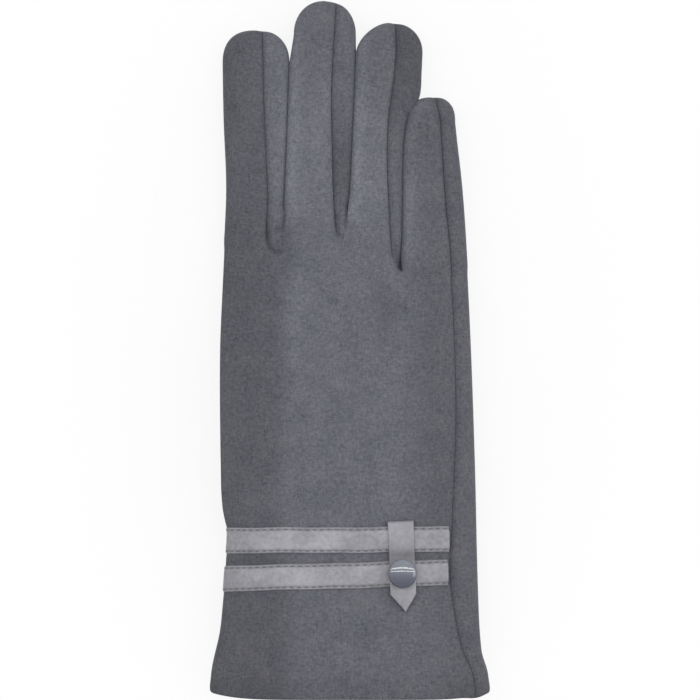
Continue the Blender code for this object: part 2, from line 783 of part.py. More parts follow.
def thumb_rows(share):
    base = -THUMB_END / (math.pi / 2)
    tip = 1 + FINGERTIP_END / (math.pi / 2)
    rows = 2 * CAP_ROWS + FINGER_ROWS
    row = share * rows
    if row < CAP_ROWS:
        return base * (1 - row / CAP_ROWS)
    if row <= CAP_ROWS + FINGER_ROWS:
        return (row - CAP_ROWS) / FINGER_ROWS
    return 1 + (row - CAP_ROWS - FINGER_ROWS) / CAP_ROWS * (tip - 1)


def thumb_tube(name, look, hinge, depth, thickness):
    def place(across, along, through):
        angle = THUMB.between(0.0, 2 * math.pi, across)
        return thumb_point(angle, thumb_rows(along), depth + thickness * through)

    bm = unit_sheet(THUMB_COLUMNS, 2 * CAP_ROWS + FINGER_ROWS)
    close_round(bm)
    lay(bm, place)
    weld(bm)
    return add_object(name, bm, look, hinge)


def trim_strip(name, look, above_hem, slope, offset, width, inside, thickness):
    """Strip on the back cloth, from the right seam round the left edge."""
    middle = HEM_Y + above_hem

    def place(across, along, through):
        angle = HAND.between(right_seam(middle), left_seam(middle), across)
        x = hand_point(angle, middle, 0.0).x
        y = band_centre(x, above_hem, slope) + offset + width * (along - 0.5)
        return hand_point(angle, y, -inside - thickness * through)

    bm = unit_sheet(HAND_COLUMNS, TRIM_ROWS)
    lay(bm, place)
    return add_object(name, bm, look)


def build_band(name, looks, above_hem, slope):
    """Trim band with a row of thread along each edge."""
    made = trim_strip(name, looks["trim"], above_hem, slope,
                      0.0, BAND_WIDTH, LAYER_GAP, BAND_THICKNESS)
    edge = BAND_WIDTH / 2 - STITCH_INSET
    over = LAYER_GAP + BAND_THICKNESS + LAYER_GAP / 2
    for side, offset in (("top", edge), ("bottom", -edge)):
        trim_strip(name + "_stitch_" + side, looks["thread"], above_hem, slope,
                   offset, THREAD, over, THREAD)
    return made


def tab_level():
    """Height of the tab's underside over the bands."""
    corners = []
    for side in (-1, 1):
        for y in (button_y() + TAB_ABOVE_BUTTON, button_y() - TAB_BELOW_BUTTON):
            corners.append(back_surface(BUTTON_X + side * TAB_WIDTH / 2, y))
    corners.append(back_surface(BUTTON_X, button_y()))
    return max(corners) + LAYER_GAP + BAND_THICKNESS + LAYER_GAP / 2 + THREAD + LAYER_GAP


def build_tab(look):
    """Pointed strap, turning on the rivet."""
    hinge = add_hinge("tab_hinge", (BUTTON_X, button_y(), tab_level()))
    half = TAB_WIDTH / 2
    bm = bmesh.new()
    bmesh.ops.create_grid(bm, x_segments=2, y_segments=3, size=0.5)
    for vert in bm.verts:
        row = round((vert.co.y + 0.5) * 3)
        ends = (-TAB_BELOW_BUTTON, 0.0, TAB_ABOVE_BUTTON / 2, TAB_ABOVE_BUTTON)
        vert.co = (vert.co.x * 2 * half, ends[row], 0.0)
        if row == 0 and abs(vert.co.x) < WELD:
            vert.co.y -= TAB_POINT
    made = bmesh.ops.extrude_face_region(bm, geom=bm.faces[:])
    lifted = [item for item in made["geom"] if isinstance(item, bmesh.types.BMVert)]
    bmesh.ops.translate(bm, verts=lifted, vec=(0.0, 0.0, TAB_THICKNESS))
    bmesh.ops.rotate(bm, verts=bm.verts, matrix=Matrix.Rotation(TAB_LEAN, 3, "Z"))
    bmesh.ops.translate(bm, verts=bm.verts, vec=hinge.location)
    return add_object("tab", bm, look, hinge, smooth=False)


def turned(name, look, profile, smooth=True):
    """Round piece on the rivet's axis, from points (radius, height)."""
    bm = bmesh.new()
    verts = [bm.verts.new((radius, 0.0, height)) for radius, height in profile]
    edges = [bm.edges.new(pair) for pair in zip(verts, verts[1:])]
    bmesh.ops.spin(bm, geom=verts + edges, axis=(0, 0, 1), cent=(0, 0, 0),
                   angle=2 * math.pi, steps=ROUND_SEGMENTS)
    weld(bm)
    bmesh.ops.translate(bm, verts=bm.verts, vec=(BUTTON_X, button_y(), 0.0))
    return add_object(name, bm, look, smooth=smooth)


def build_button(looks):
    """Domed cap over the tab, and the rivet that comes up into it from inside the glove."""
    seat = tab_level() + TAB_THICKNESS + LAYER_GAP
    radius = BUTTON_DIAMETER / 2
    socket = RIVET_STEM_DIAMETER / 2 + RIVET_HOLE_CLEARANCE
    socket_top = seat + BUTTON_HEIGHT * 0.55
    profile = [(0.0, socket_top), (socket, socket_top), (socket, seat), (radius, seat)]
    steps = 5
    for i in range(steps):
        turn = math.pi / 2 * i / steps
        rise = seat + BUTTON_RIM + (BUTTON_HEIGHT - BUTTON_RIM) * math.sin(turn)
        profile.append((radius * math.cos(turn), rise))
    profile.append((0.0, seat + BUTTON_HEIGHT))
    turned("button_cap", looks["button"], profile)

    inside = back_surface(BUTTON_X, button_y()) - CLOTH
    base_top = inside - LAYER_GAP
    stem = RIVET_STEM_DIAMETER / 2
    profile = [
        (0.0, base_top - RIVET_BASE_THICKNESS),
        (RIVET_BASE_DIAMETER / 2, base_top - RIVET_BASE_THICKNESS),
        (RIVET_BASE_DIAMETER / 2, base_top),
        (stem, base_top),
        (stem, socket_top - LAYER_GAP),
        (0.0, socket_top - LAYER_GAP),
    ]
    turned("button_rivet", looks["rivet"], profile, smooth=False)


def build():
    clear_scene()
    looks = {
        "cloth": material("outer_fabric", (0.145, 0.148, 0.170), 0.95),
        "lining": material("lining_fabric", (0.100, 0.102, 0.115), 1.0),
        "trim": material("trim_leather", (0.340, 0.335, 0.370), 0.55),
        "thread": material("stitch_thread", (0.150, 0.150, 0.165), 0.8),
        "button": material("button_enamel", (0.150, 0.160, 0.195), 0.18, 0.6),
        "rivet": material("rivet_steel", (0.550, 0.550, 0.560), 0.35, 1.0),
        "pad": material("touch_patch", (0.110, 0.110, 0.125), 0.85),
    }
    thumb_cutter = prism_cutter("thumb_hole_cutter", thumb_hole_outline, THUMB_ROOT.z, HAND_TOP * 0.8)
    rivet_cutter = prism_cutter("rivet_hole_cutter", rivet_hole_outline, HAND_TOP * 0.8, HAND_TOP * 1.6)

    cut(hand_panel("back_panel", looks["cloth"]), rivet_cutter)
    cut(hand_panel("palm_panel", looks["cloth"]), thumb_cutter)
    cut(hand_lining(looks["lining"]), thumb_cutter)

    for name in FINGERS:
        finger, hinge = build_finger(name, looks)
        if name == "index":
            touch_pad("index_touch_pad", looks["pad"], hinge, finger.point,
                      INDEX_PAD_FROM, INDEX_PAD_TO, math.radians(272))

    fold = THUMB_ROOT + Vector((-THUMB_FOLD_OUTSIDE, 0, THUMB_THICKNESS / 2 + THUMB_CLEARANCE / 2))
    thumb_hinge = add_hinge("thumb_hinge", fold)
    stall = thumb_tube("thumb_stall", looks["cloth"], thumb_hinge, 0.0, CLOTH)
    cut(stall, thumb_cutter)
    lining = thumb_tube("thumb_lining", looks["lining"], thumb_hinge, LINING_DEPTH, LINING)
    cut(lining, thumb_cutter)
    touch_pad("thumb_touch_pad", looks["pad"], thumb_hinge, thumb_point,
              THUMB_PAD_FROM, THUMB_PAD_TO, math.radians(90))

    build_band("upper_band", looks, UPPER_BAND_ABOVE_HEM, UPPER_BAND_SLOPE)
    lower = build_band("lower_band", looks, LOWER_BAND_ABOVE_HEM, LOWER_BAND_SLOPE)
    cut(lower, rivet_cutter)
    cut(build_tab(looks["trim"]), rivet_cutter)
    build_button(looks)


build()
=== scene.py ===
# %% [markdown]
# # A touchscreen glove
#
# The glove lies palm down with its thumb folded under the palm. It is sewn from brushed grey cloth,
# lined with fleece, and trimmed at the wrist with two leather bands, a pointed tab and a button.
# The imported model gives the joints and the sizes. This lesson dresses it: every solid but the rivet
# gives way to a finer piece that follows the same surface, with rolled seams and a real finish.

# %% Load the frame
import math

import bmesh
import bpy
import numpy as np
from mathutils import Matrix, Vector


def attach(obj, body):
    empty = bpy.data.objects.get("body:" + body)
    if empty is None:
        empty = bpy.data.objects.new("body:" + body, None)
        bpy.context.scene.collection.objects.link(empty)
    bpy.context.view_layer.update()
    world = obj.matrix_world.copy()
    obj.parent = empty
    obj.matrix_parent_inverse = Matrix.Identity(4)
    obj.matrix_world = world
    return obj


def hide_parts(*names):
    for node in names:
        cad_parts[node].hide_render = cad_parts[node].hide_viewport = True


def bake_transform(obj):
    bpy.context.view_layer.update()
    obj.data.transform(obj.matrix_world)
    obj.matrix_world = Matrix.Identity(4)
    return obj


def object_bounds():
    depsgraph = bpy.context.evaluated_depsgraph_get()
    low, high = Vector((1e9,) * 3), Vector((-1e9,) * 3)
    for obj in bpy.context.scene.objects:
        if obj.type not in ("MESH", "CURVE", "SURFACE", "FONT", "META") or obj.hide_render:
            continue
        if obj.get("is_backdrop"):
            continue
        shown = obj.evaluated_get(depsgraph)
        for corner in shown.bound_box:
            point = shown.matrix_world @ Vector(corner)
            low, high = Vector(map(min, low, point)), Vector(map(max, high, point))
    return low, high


MM = 0.001
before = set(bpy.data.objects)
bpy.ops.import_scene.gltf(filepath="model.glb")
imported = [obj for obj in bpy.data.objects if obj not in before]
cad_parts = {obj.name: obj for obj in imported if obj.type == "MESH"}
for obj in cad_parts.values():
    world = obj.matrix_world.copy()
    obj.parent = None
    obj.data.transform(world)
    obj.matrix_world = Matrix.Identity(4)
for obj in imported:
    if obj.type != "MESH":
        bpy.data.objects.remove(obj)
cad_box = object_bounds()
bpy.context.scene.view_settings.view_transform = "Standard"

# %% [markdown]
# ## Camera
#
# The picture was taken from straight above, so the camera looks down the Z axis with the fingers
# pointing up the frame. A long lens far away keeps the sides of the fingers out of sight, as in the
# picture. The lens follows from how many millimetres one pixel covers at the glove's edge.

# %% Camera over the glove
PICTURE_PIXELS = 700
MM_PER_PIXEL = 0.34384
CAMERA_HEIGHT = 3.0
EDGE_HEIGHT = 8 * MM
SENSOR = 36.0

lens = bpy.data.cameras.new("picture_camera")
lens.sensor_width = SENSOR
lens.lens = SENSOR * (CAMERA_HEIGHT - EDGE_HEIGHT) / (PICTURE_PIXELS * MM_PER_PIXEL * MM)
lens.dof.use_dof = False
camera = bpy.data.objects.new("picture_camera", lens)
camera.location = (0.0, 0.0, CAMERA_HEIGHT)
bpy.context.scene.collection.objects.link(camera)
bpy.context.scene.camera = camera
print("camera lens:", round(lens.lens, 1), "mm")

# %% [markdown]
# ## Light, floor and background
#
# Cloth shows its seams best under wide, soft light. Two long softboxes stand towards the fingertips:
# they light the cloth, and the button mirrors them as two bright streaks. A third, weaker one comes
# from the little finger side and rounds the fingers. The world looks white to the camera through
# Light Path. The floor is a faint sheet of paper round the glove, seen from above by the camera and
# by mirrors. It keeps the glove's shadow, and it leaves the view free to the palm from below and to
# a finger that bends down past it.

# %% World
WORLD_LIGHT = 0.52
WHITE = (1, 1, 1, 1)


def add_node(tree, kind, values=None, **settings):
    """New node with its settings, and with values or links for its inputs."""
    made = tree.nodes.new(kind)
    for name, value in settings.items():
        setattr(made, name, value)
    for name, value in (values or {}).items():
        if isinstance(value, bpy.types.NodeSocket):
            tree.links.new(value, made.inputs[name])
        else:
            made.inputs[name].default_value = value
    return made


def maths(tree, operation, *values):
    """Result of one operation on sockets or plain numbers."""
    return add_node(tree, "ShaderNodeMath", dict(enumerate(values)), operation=operation).outputs[0]


def seen_directly(tree):
    """1 for rays from the camera, or by a mirror or glass, and 0 for the rays that carry light."""
    path = add_node(tree, "ShaderNodeLightPath").outputs
    either = maths(tree, "MAXIMUM", path["Is Camera Ray"], path["Is Glossy Ray"])
    return maths(tree, "MAXIMUM", either, path["Is Transmission Ray"])


def mix_shaders(tree, share, first, second):
    return add_node(tree, "ShaderNodeMixShader", {0: share, 1: first, 2: second}).outputs[0]


world = bpy.data.worlds.new("studio")
world.use_nodes = True
bpy.context.scene.world = world
tree = world.node_tree
tree.nodes.clear()
lit, white = (add_node(tree, "ShaderNodeBackground", {"Color": WHITE, "Strength": strength}).outputs[0]
              for strength in (WORLD_LIGHT, 1.0))
add_node(tree, "ShaderNodeOutputWorld", {"Surface": mix_shaders(tree, seen_directly(tree), lit, white)})
print("world:", len(tree.nodes), "nodes")

# %% Floor
FLOOR_GREY = (0.94, 0.94, 0.94, 1)
FLOOR_SHADING = 0.15
FLOOR_REACH = (0.12, 0.19)
FLOOR_FADE = 0.45
FLOOR_SIZE = 3.0
FLOOR_DROP = 0.3 * MM


def object_place(tree):
    return add_node(tree, "ShaderNodeTexCoord").outputs["Object"]


def laid(tree, vector, scale, turn=0.0):
    """Vector scaled on each axis, and then turned about Z by degrees."""
    values = {"Vector": vector, "Rotation": (0, 0, math.radians(turn)), "Scale": scale}
    return add_node(tree, "ShaderNodeMapping", values).outputs[0]


def ranged(tree, value, start, end, low=0.0, high=1.0, way="LINEAR"):
    """Value carried over from start and end to low and high, and held beyond them."""
    values = {"Value": value, "From Min": start, "From Max": end, "To Min": low, "To Max": high}
    return add_node(tree, "ShaderNodeMapRange", values, interpolation_type=way).outputs["Result"]


floor_look = bpy.data.materials.new("studio_floor")
floor_look.use_nodes = True
tree = floor_look.node_tree
tree.nodes.clear()
clear = add_node(tree, "ShaderNodeBsdfTransparent", {"Color": WHITE}).outputs[0]
paper = add_node(tree, "ShaderNodeBsdfDiffuse", {"Color": FLOOR_GREY}).outputs[0]
scaled = laid(tree, object_place(tree), (1 / FLOOR_REACH[0], 1 / FLOOR_REACH[1], 1))
near = add_node(tree, "ShaderNodeTexGradient", {"Vector": scaled}, gradient_type="SPHERICAL").outputs["Fac"]
share = ranged(tree, near, 0.0, FLOOR_FADE, 0.0, FLOOR_SHADING, "SMOOTHSTEP")
below = add_node(tree, "ShaderNodeNewGeometry").outputs["Backfacing"]
for factor in (seen_directly(tree), maths(tree, "SUBTRACT", 1.0, below)):
    share = maths(tree, "MULTIPLY", share, factor)
add_node(tree, "ShaderNodeOutputMaterial", {"Surface": mix_shaders(tree, share, clear, paper)})

bm = bmesh.new()
bmesh.ops.create_grid(bm, x_segments=2, y_segments=2, size=FLOOR_SIZE / 2)
bmesh.ops.translate(bm, verts=bm.verts, vec=(0, 0, -FLOOR_DROP))
floor_mesh = bpy.data.meshes.new("studio_floor")
bm.to_mesh(floor_mesh)
bm.free()
floor_mesh.materials.append(floor_look)
floor = bpy.data.objects.new("studio_floor", floor_mesh)
bpy.context.scene.collection.objects.link(floor)
floor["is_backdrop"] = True
print("floor:", FLOOR_SIZE, "m wide")

# %% Softboxes
def softbox(name, place, width, depth, power):
    """Area light that faces the middle of the glove."""
    lamp = bpy.data.lights.new(name, "AREA")
    lamp.shape = "RECTANGLE"
    lamp.size = width
    lamp.size_y = depth
    lamp.energy = power
    made = bpy.data.objects.new(name, lamp)
    made.location = place
    made.rotation_mode = "QUATERNION"
    made.rotation_quaternion = (-Vector(place)).to_track_quat("-Z", "Y")
    bpy.context.scene.collection.objects.link(made)


softbox("high_softbox", place=(0.0, 0.44, 3.3), width=8.0, depth=0.24, power=32.5)
softbox("low_softbox", place=(0.0, 1.18, 3.1), width=8.0, depth=0.32, power=49.0)
softbox("side_softbox", place=(1.2, -0.1, 0.75), width=0.6, depth=0.8, power=2.6)

# %% [markdown]
# ## Lines of the glove, seen from above
#
# A glove pattern is a handful of smooth lines: two outer edges, three lines between the fingers, the
# line of the finger roots and the seams. Each is kept as a few points in millimetres and read as a
# smooth curve, so that the cloth of two neighbours meets exactly.

# %% Smooth curves
def ease(value, start, end):
    """0 before start, 1 after end, and a smooth rise between them."""
    t = np.clip((value - start) / (end - start), 0.0, 1.0)
    return t * t * (3 - 2 * t)


def hump(distance, width):
    """1 at no distance, falling smoothly to nearly 0 at two widths."""
    return np.exp(-((distance / width) ** 2))


def follow(points, place):
    """Smooth curve through points (place, value) in millimetres, read at places in metres."""
    at, value = np.array(points, float).T * MM
    order = np.arange(len(at))
    low, high = np.maximum(order - 1, 0), np.minimum(order + 1, len(at) - 1)
    slope = (value[high] - value[low]) / (at[high] - at[low])
    k = np.clip(np.searchsorted(at, place, side="right") - 1, 0, len(at) - 2)
    step = at[k + 1] - at[k]
    t = np.clip((place - at[k]) / step, 0.0, 1.0)
    rise = t * t * (3 - 2 * t)
    leave = t * (1 - t) * (1 - t) * step * slope[k]
    arrive = t * t * (1 - t) * step * slope[k + 1]
    return value[k] * (1 - rise) + value[k + 1] * rise + leave - arrive


print("ease halfway:", float(ease(0.5, 0.0, 1.0)), "and hump at one width:", round(float(hump(1.0, 1.0)), 2))

# %% Edges, seams and roots
# Edges and lines between the fingers, as points (Y, X)
LEFT_EDGE = ((-120, -48), (-110, -47.6), (-97, -44.8), (-88, -43.8), (-82, -43.3), (-72, -42.6),
             (-63, -42), (-58.5, -43), (-54, -43.8), (-45, -44.3), (0, -44.6), (35, -43.2), (56, -42.4),
             (80, -43.3), (111, -43.8))
RIGHT_EDGE = ((-120, 48), (-111, 47.4), (-103, 45.2), (-82, 44), (-41, 43), (0, 41.6), (35, 39.9),
              (56, 38.4), (78, 36), (90, 35.2))
INDEX_MIDDLE = ((30, -23.9), (36, -23.5), (52, -22.5), (80, -21.4), (111, -20.7))
MIDDLE_RING = ((30, -3.2), (38, -2.4), (43, -1.2), (52, -0.2), (80, 1.2), (111, 2.5))
RING_LITTLE = ((20, 18), (27, 17.8), (40, 17.9), (60, 18), (70, 18.3), (76, 19), (80, 20.2), (84, 22.4),
               (88, 24), (96, 24.5), (111, 25.2))

# Seams that show on the back, as points (Y, X)
RIGHT_SEAM = ((-120, 43.6), (-111, 42.6), (-103, 39.2), (-91, 36.6), (-76, 34.7), (-58, 35.6),
              (-20, 36.9), (30, 35.1), (52, 33), (78, 31.4), (90, 30.5))
INDEX_SEAM = ((34, -28), (38, -28.3), (42, -28.4), (51.6, -27.9), (65, -28.5), (86, -29.4), (110, -29.9))
MIDDLE_SEAM = ((37, -3.8), (41.3, -4.4), (51.6, -5.2), (68.8, -5.8), (86, -6.2), (99.7, -5.7),
               (118, -4.5))
RING_SEAM = ((27, 17.5), (28.4, 17.1), (37.8, 15.1), (51.6, 13.8), (68.8, 13.1), (82.5, 13.8),
             (99.7, 15.8), (112, 16.2))

# Line of the finger roots, as points (X, Y)
ROOT_LINE = ((-42.6, 33.5), (-23.5, 36), (-14, 39), (-2.4, 38.3), (8, 33.5), (18.1, 27), (29, 25.5),
             (40.6, 25))

HEM_Y = -120 * MM
KNUCKLE_Y = 36 * MM
HAND_LENGTH = KNUCKLE_Y - HEM_Y
WRIST_Y = -60 * MM
ROOT_ROUNDS = 6


def root_y(x):
    return follow(ROOT_LINE, x)


def hand_lane(y):
    """Middle and half width of the hand."""
    left, right = follow(LEFT_EDGE, y), follow(RIGHT_EDGE, y)
    return (left + right) / 2, (right - left) / 2


def root_place(lane, across):
    """X and Y where a place across a lane meets the line of the finger roots."""
    y = KNUCKLE_Y + 0 * across
    for _ in range(ROOT_ROUNDS):
        centre, half = lane(y)
        x = centre + half * across
        y = root_y(x)
    return x, y


print("wrist width:", round(float(hand_lane(WRIST_Y)[1]) * 2 / MM, 1), "mm")

# %% [markdown]
# ## Heights of the glove
#
# An empty glove lies nearly flat: its back is a low crown that falls off at the forefinger side, the
# cloth sinks in grooves below each fork, and faint ridges run up towards the fingers. Underneath,
# the palm is lifted where the thumb is folded under it. A height for every place in plan keeps all
# of this in one small set of formulas that the cloth, the lining and the trim share.

# %% Folded thumb in plan
THUMB_LENGTH = 57 * MM
THUMB_WIDTH = 25 * MM
THUMB_TIP_WIDTH = 22 * MM
THUMB_THICKNESS = 9.4 * MM
THUMB_TURN = math.radians(35)
THUMB_ROOT = Vector((-37 * MM, -24 * MM, THUMB_THICKNESS / 2))
THUMB_BASE_CAP = 3.6 * MM
THUMB_AHEAD = (math.sin(THUMB_TURN), math.cos(THUMB_TURN))


def thumb_distance(x, y):
    """Distance in plan outside the folded thumb."""
    ax, ay = x - THUMB_ROOT.x, y - THUMB_ROOT.y
    along = ax * THUMB_AHEAD[0] + ay * THUMB_AHEAD[1]
    reach = np.clip(along, 0.0, THUMB_LENGTH - THUMB_TIP_WIDTH / 2)
    off_x, off_y = ax - THUMB_AHEAD[0] * reach, ay - THUMB_AHEAD[1] * reach
    from_middle = np.hypot(off_x, off_y) - THUMB_WIDTH / 2
    beside = np.maximum(np.abs(ay) - THUMB_WIDTH / 2 / THUMB_AHEAD[0], 0.0)
    from_root = np.hypot(ax, beside) - THUMB_BASE_CAP
    return np.maximum(np.minimum(from_middle, from_root), 0.0)


print("hem to thumb:", round(float(thumb_distance(THUMB_ROOT.x, HEM_Y)) / MM, 1), "mm")

# %% Folds at the forks
FORK_DIP_WIDTH = 3.2 * MM
FORK_DIP_LENGTH = 17 * MM
FOLD_WIDTH = 0.8 * MM
SWELL_WIDTH = 1.9 * MM

# Ends of seams and gaps at the forks, as a depth and points (X, Y), and swellings (X, Y, height)
FORK_FOLDS = (
    (1.1, ((-28.4, 46), (-28.3, 37), (-27.4, 34.8), (-25.8, 33.6), (-24.2, 33.8))),
    (1.4, ((-22.9, 48), (-23.3, 42), (-24.9, 40.9))),
    (1.0, ((-4.6, 46), (-4.4, 40.8), (-4.2, 39.4))),
    (1.4, ((-1.0, 50), (-1.9, 43))),
    (1.0, ((15.4, 37), (16.4, 31), (17.0, 27.6))),
    (1.4, ((17.9, 38), (17.8, 31), (17.3, 28))),
)
FORK_SWELLS = ((-25.9, 37.6, 0.6), (-22.8, 34.6, 0.6), (-2.4, 40.2, 0.7), (17.2, 25.2, 0.7))


def fork_dip(x, y):
    """Share of the groove below and between the fingers."""
    near = ease(y, root_y(x) - FORK_DIP_LENGTH, root_y(x))
    return near * sum(hump(x - follow(line, y), FORK_DIP_WIDTH)
                      for line in (INDEX_MIDDLE, MIDDLE_RING, RING_LITTLE))


def from_line(points, x, y):
    """Distance in plan from a line of points (X, Y) in millimetres."""
    nearest = np.inf
    for (ax, ay), (bx, by) in zip(points, points[1:]):
        run_x, run_y = (bx - ax) * MM, (by - ay) * MM
        off_x, off_y = x - ax * MM, y - ay * MM
        share = np.clip((off_x * run_x + off_y * run_y) / (run_x ** 2 + run_y ** 2), 0.0, 1.0)
        nearest = np.minimum(nearest, np.hypot(off_x - share * run_x, off_y - share * run_y))
    return nearest


def fork_folds(x, y):
    """Depth in millimetres of the folds where seams and gaps end at the forks."""
    return sum(depth * hump(from_line(points, x, y), FOLD_WIDTH) for depth, points in FORK_FOLDS)


def fork_pucker(x, y):
    """The folds at the forks, and the small swellings between them."""
    lift = -fork_folds(x, y)
    for swell_x, swell_y, rise in FORK_SWELLS:
        lift = lift + rise * hump(np.hypot(x - swell_x * MM, y - swell_y * MM), SWELL_WIDTH)
    return lift * MM


print("fork folds:", len(FORK_FOLDS), "and swellings:", len(FORK_SWELLS))

# %% Back of the hand
HAND_TOP = 18.6 * MM
KNUCKLE_TOP = 14 * MM
CROWN_END = 0.72
FORK_DIP = 1.4 * MM
SIDE_FALL = 3.0 * MM
FALL_LIMIT = 1.2
FALL_SOFTNESS = 0.15
RIDGE_X = -20 * MM
RIDGE_WIDTH = 24 * MM
BAND_PRESS = 0.15 * MM
BAND_WIDTH = 8.9 * MM
PRESS_EDGE = (BAND_WIDTH * 0.46, BAND_WIDTH * 0.62)
# Height above the hem at the middle of the glove, and slope
UPPER_BAND = (54.9 * MM, 0.007)
LOWER_BAND = (42.75 * MM, 0.029)


def band_middle(x, band):
    above_hem, slope = band
    return HEM_Y + above_hem + slope * x


def slack(x, y):
    """Ridges of slack cloth along the hand, crossed by fainter swellings; heights in millimetres."""
    bend = 3.0 * np.sin(y / (34 * MM)) * MM
    ridges = 0.26 * np.sin((x + bend) / (3.3 * MM)) + 0.20 * np.sin((x - 2 * bend) / (5.1 * MM) + 1.3)
    swell = 0.16 * np.sin(y / (9.5 * MM) + x / (17 * MM)) + 0.12 * np.sin(y / (5.7 * MM) - x / (12 * MM))
    free = ease(y, HEM_Y + 50 * MM, HEM_Y + 85 * MM)
    cuff = ease(y, HEM_Y + 2 * MM, HEM_Y + 14 * MM) * (1 - ease(y, HEM_Y + 26 * MM, HEM_Y + 40 * MM))
    return (free * (ridges + swell) + cuff * 0.8 * swell) * MM


def back_level(y):
    return HAND_TOP - (HAND_TOP - KNUCKLE_TOP) * ease(y, HEM_Y + HAND_LENGTH * CROWN_END, KNUCKLE_Y)


def back_height(x, y):
    """Height of the back of the hand before its sides round off."""
    away = np.clip((RIDGE_X - x) / RIDGE_WIDTH, 0.0, FALL_LIMIT)
    fall = SIDE_FALL * away * away / (away + FALL_SOFTNESS) * (1 + FALL_SOFTNESS)
    press = sum(1 - ease(np.abs(y - band_middle(x, band)), *PRESS_EDGE) for band in (UPPER_BAND, LOWER_BAND))
    shaped = fork_pucker(x, y) + slack(x, y) - FORK_DIP * fork_dip(x, y) - BAND_PRESS * press
    return back_level(y) - fall + shaped


print("back at the wrist:", round(float(back_height(0.0, WRIST_Y)) / MM, 1), "mm high")

# %% Palm of the hand
KNUCKLE_RISE = 1.2 * MM
REST_FLAT = 0.25 * MM
THUMB_CLEARANCE = 0.8 * MM
THUMB_SLOPE = 15.5 * MM


def palm_level(x, y):
    near = 1 - ease(thumb_distance(x, y), 0.0, THUMB_SLOPE)
    rise = KNUCKLE_RISE * ease(y, root_y(x) - FORK_DIP_LENGTH, root_y(x))
    return (THUMB_THICKNESS + THUMB_CLEARANCE) * near + rise - REST_FLAT


def palm_height(x, y):
    return palm_level(x, y) + FORK_DIP / 2 * fork_dip(x, y)


print("palm over the thumb:", round(float(palm_height(THUMB_ROOT.x, THUMB_ROOT.y)) / MM, 1), "mm high")

# %% [markdown]
# ## Rounded sections
#
# Cut across, the hand and each finger are rounded rectangles. A superellipse gives that outline with
# one number for its squareness. Walking it by length, not by angle, spreads the mesh evenly over
# flat backs and tight sides alike.

# %% Outline of a section
HAND_SQUARENESS = (3.4, 3.4)
HAND_ASPECT = 0.215
WALK_STEPS = 600
FULL_TURN = 2 * math.pi


def outline(angle, squareness):
    """Point (across, up) of a rounded outline, with a squareness for its right and left half."""
    right, left = squareness
    c, s = np.cos(angle), np.sin(angle)
    square = np.where(c > 0, right, left)
    reach = (np.abs(c) ** square + np.abs(s) ** square) ** (-1 / square)
    return c * reach, s * reach


def hand_crown(x, y):
    """How high the hand's outline is at a place in plan, from 0 at its edges to 1."""
    centre, half = hand_lane(y)
    square = HAND_SQUARENESS[0]
    return np.maximum(1 - np.abs((x - centre) / half) ** square, 0.0) ** (1 / square)


def angle_across(across, squareness):
    """Angle on the top half that lies that far across."""
    right, left = squareness
    square = right if across > 0 else left
    return math.atan2((1 - abs(across) ** square) ** (1 / square), across)


def angle_down(down, square):
    """Angle from the middle of a side to the place that far down it."""
    return math.atan2(down, (1 - down ** square) ** (1 / square))


def walk(start, end, shares, squareness, aspect):
    """Angles at shares of the way round, by length, and the whole length in half widths."""
    angles = np.linspace(start, end, WALK_STEPS)
    across, up = outline(angles, squareness)
    steps = np.hypot(np.diff(across), np.diff(up) * aspect)
    length = np.concatenate(([0.0], np.cumsum(steps)))
    return np.interp(shares * length[-1], length, angles), length[-1]


def crowded(count, strength):
    """Shares from 0 to 1, closer together at both ends."""
    t = np.linspace(0.0, 1.0, count + 1)
    return (1 - strength) * t + strength * (0.5 - 0.5 * np.cos(math.pi * t))


girth = walk(0.0, FULL_TURN, np.array([1.0]), HAND_SQUARENESS, HAND_ASPECT)[1]
print("length round the hand:", round(float(girth), 2), "half widths")

# %% [markdown]
# ## Brushed cloth and fleece
#
# The outer cloth is a brushed melange: light and dark fibres lie together in every direction and
# the nap catches light at the edges. Flecks and two sets of stretched noise make the fibres, a
# slow noise makes the mottling, and sheen on the shader makes the pale fuzzy edges. The lining is
# the same effect, larger and softer, so the fibres are a node group that both finishes use.

# %% Fibre group
FLECK_SCALE = 1050.0
MOTTLE_SCALE = 110.0
# Turn in degrees and scales of each set of strands, which are long where the scale is small
STRANDS = ((35, (2600, 520, 1300)), (-40, (560, 2400, 1300)))
# Flecks, both sets of strands and, for the shade, the mottling
SHADE_WEIGHTS = (0.34, 0.24, 0.24, 0.18)
HEIGHT_WEIGHTS = (0.5, 0.25, 0.25)
SHADE_RANGE = (0.28, 0.72)


def new_group(name, inputs, outputs):
    """Empty shader group with sockets by name and kind, and its input and output nodes."""
    made = bpy.data.node_groups.new(name, "ShaderNodeTree")
    for label, kind in inputs.items():
        made.interface.new_socket(name=label, in_out="INPUT", socket_type="NodeSocket" + kind)
    for label in outputs:
        made.interface.new_socket(name=label, in_out="OUTPUT", socket_type="NodeSocketFloat")
    return made, made.nodes.new("NodeGroupInput"), made.nodes.new("NodeGroupOutput")


def weighted(tree, sockets, weights):
    """Sum of sockets times their weights."""
    total = 0.0
    for socket, weight in zip(sockets, weights):
        total = maths(tree, "ADD", total, maths(tree, "MULTIPLY", socket, weight))
    return total


def noise(tree, vector, scale, detail, **more):
    values = {"Vector": vector, "Scale": scale, "Detail": detail, **more}
    return add_node(tree, "ShaderNodeTexNoise", values).outputs["Fac"]


def hand_out(group, end, **sockets):
    """Link sockets to the group's outputs of the same names."""
    for label, socket in sockets.items():
        group.links.new(socket, end.inputs[label])


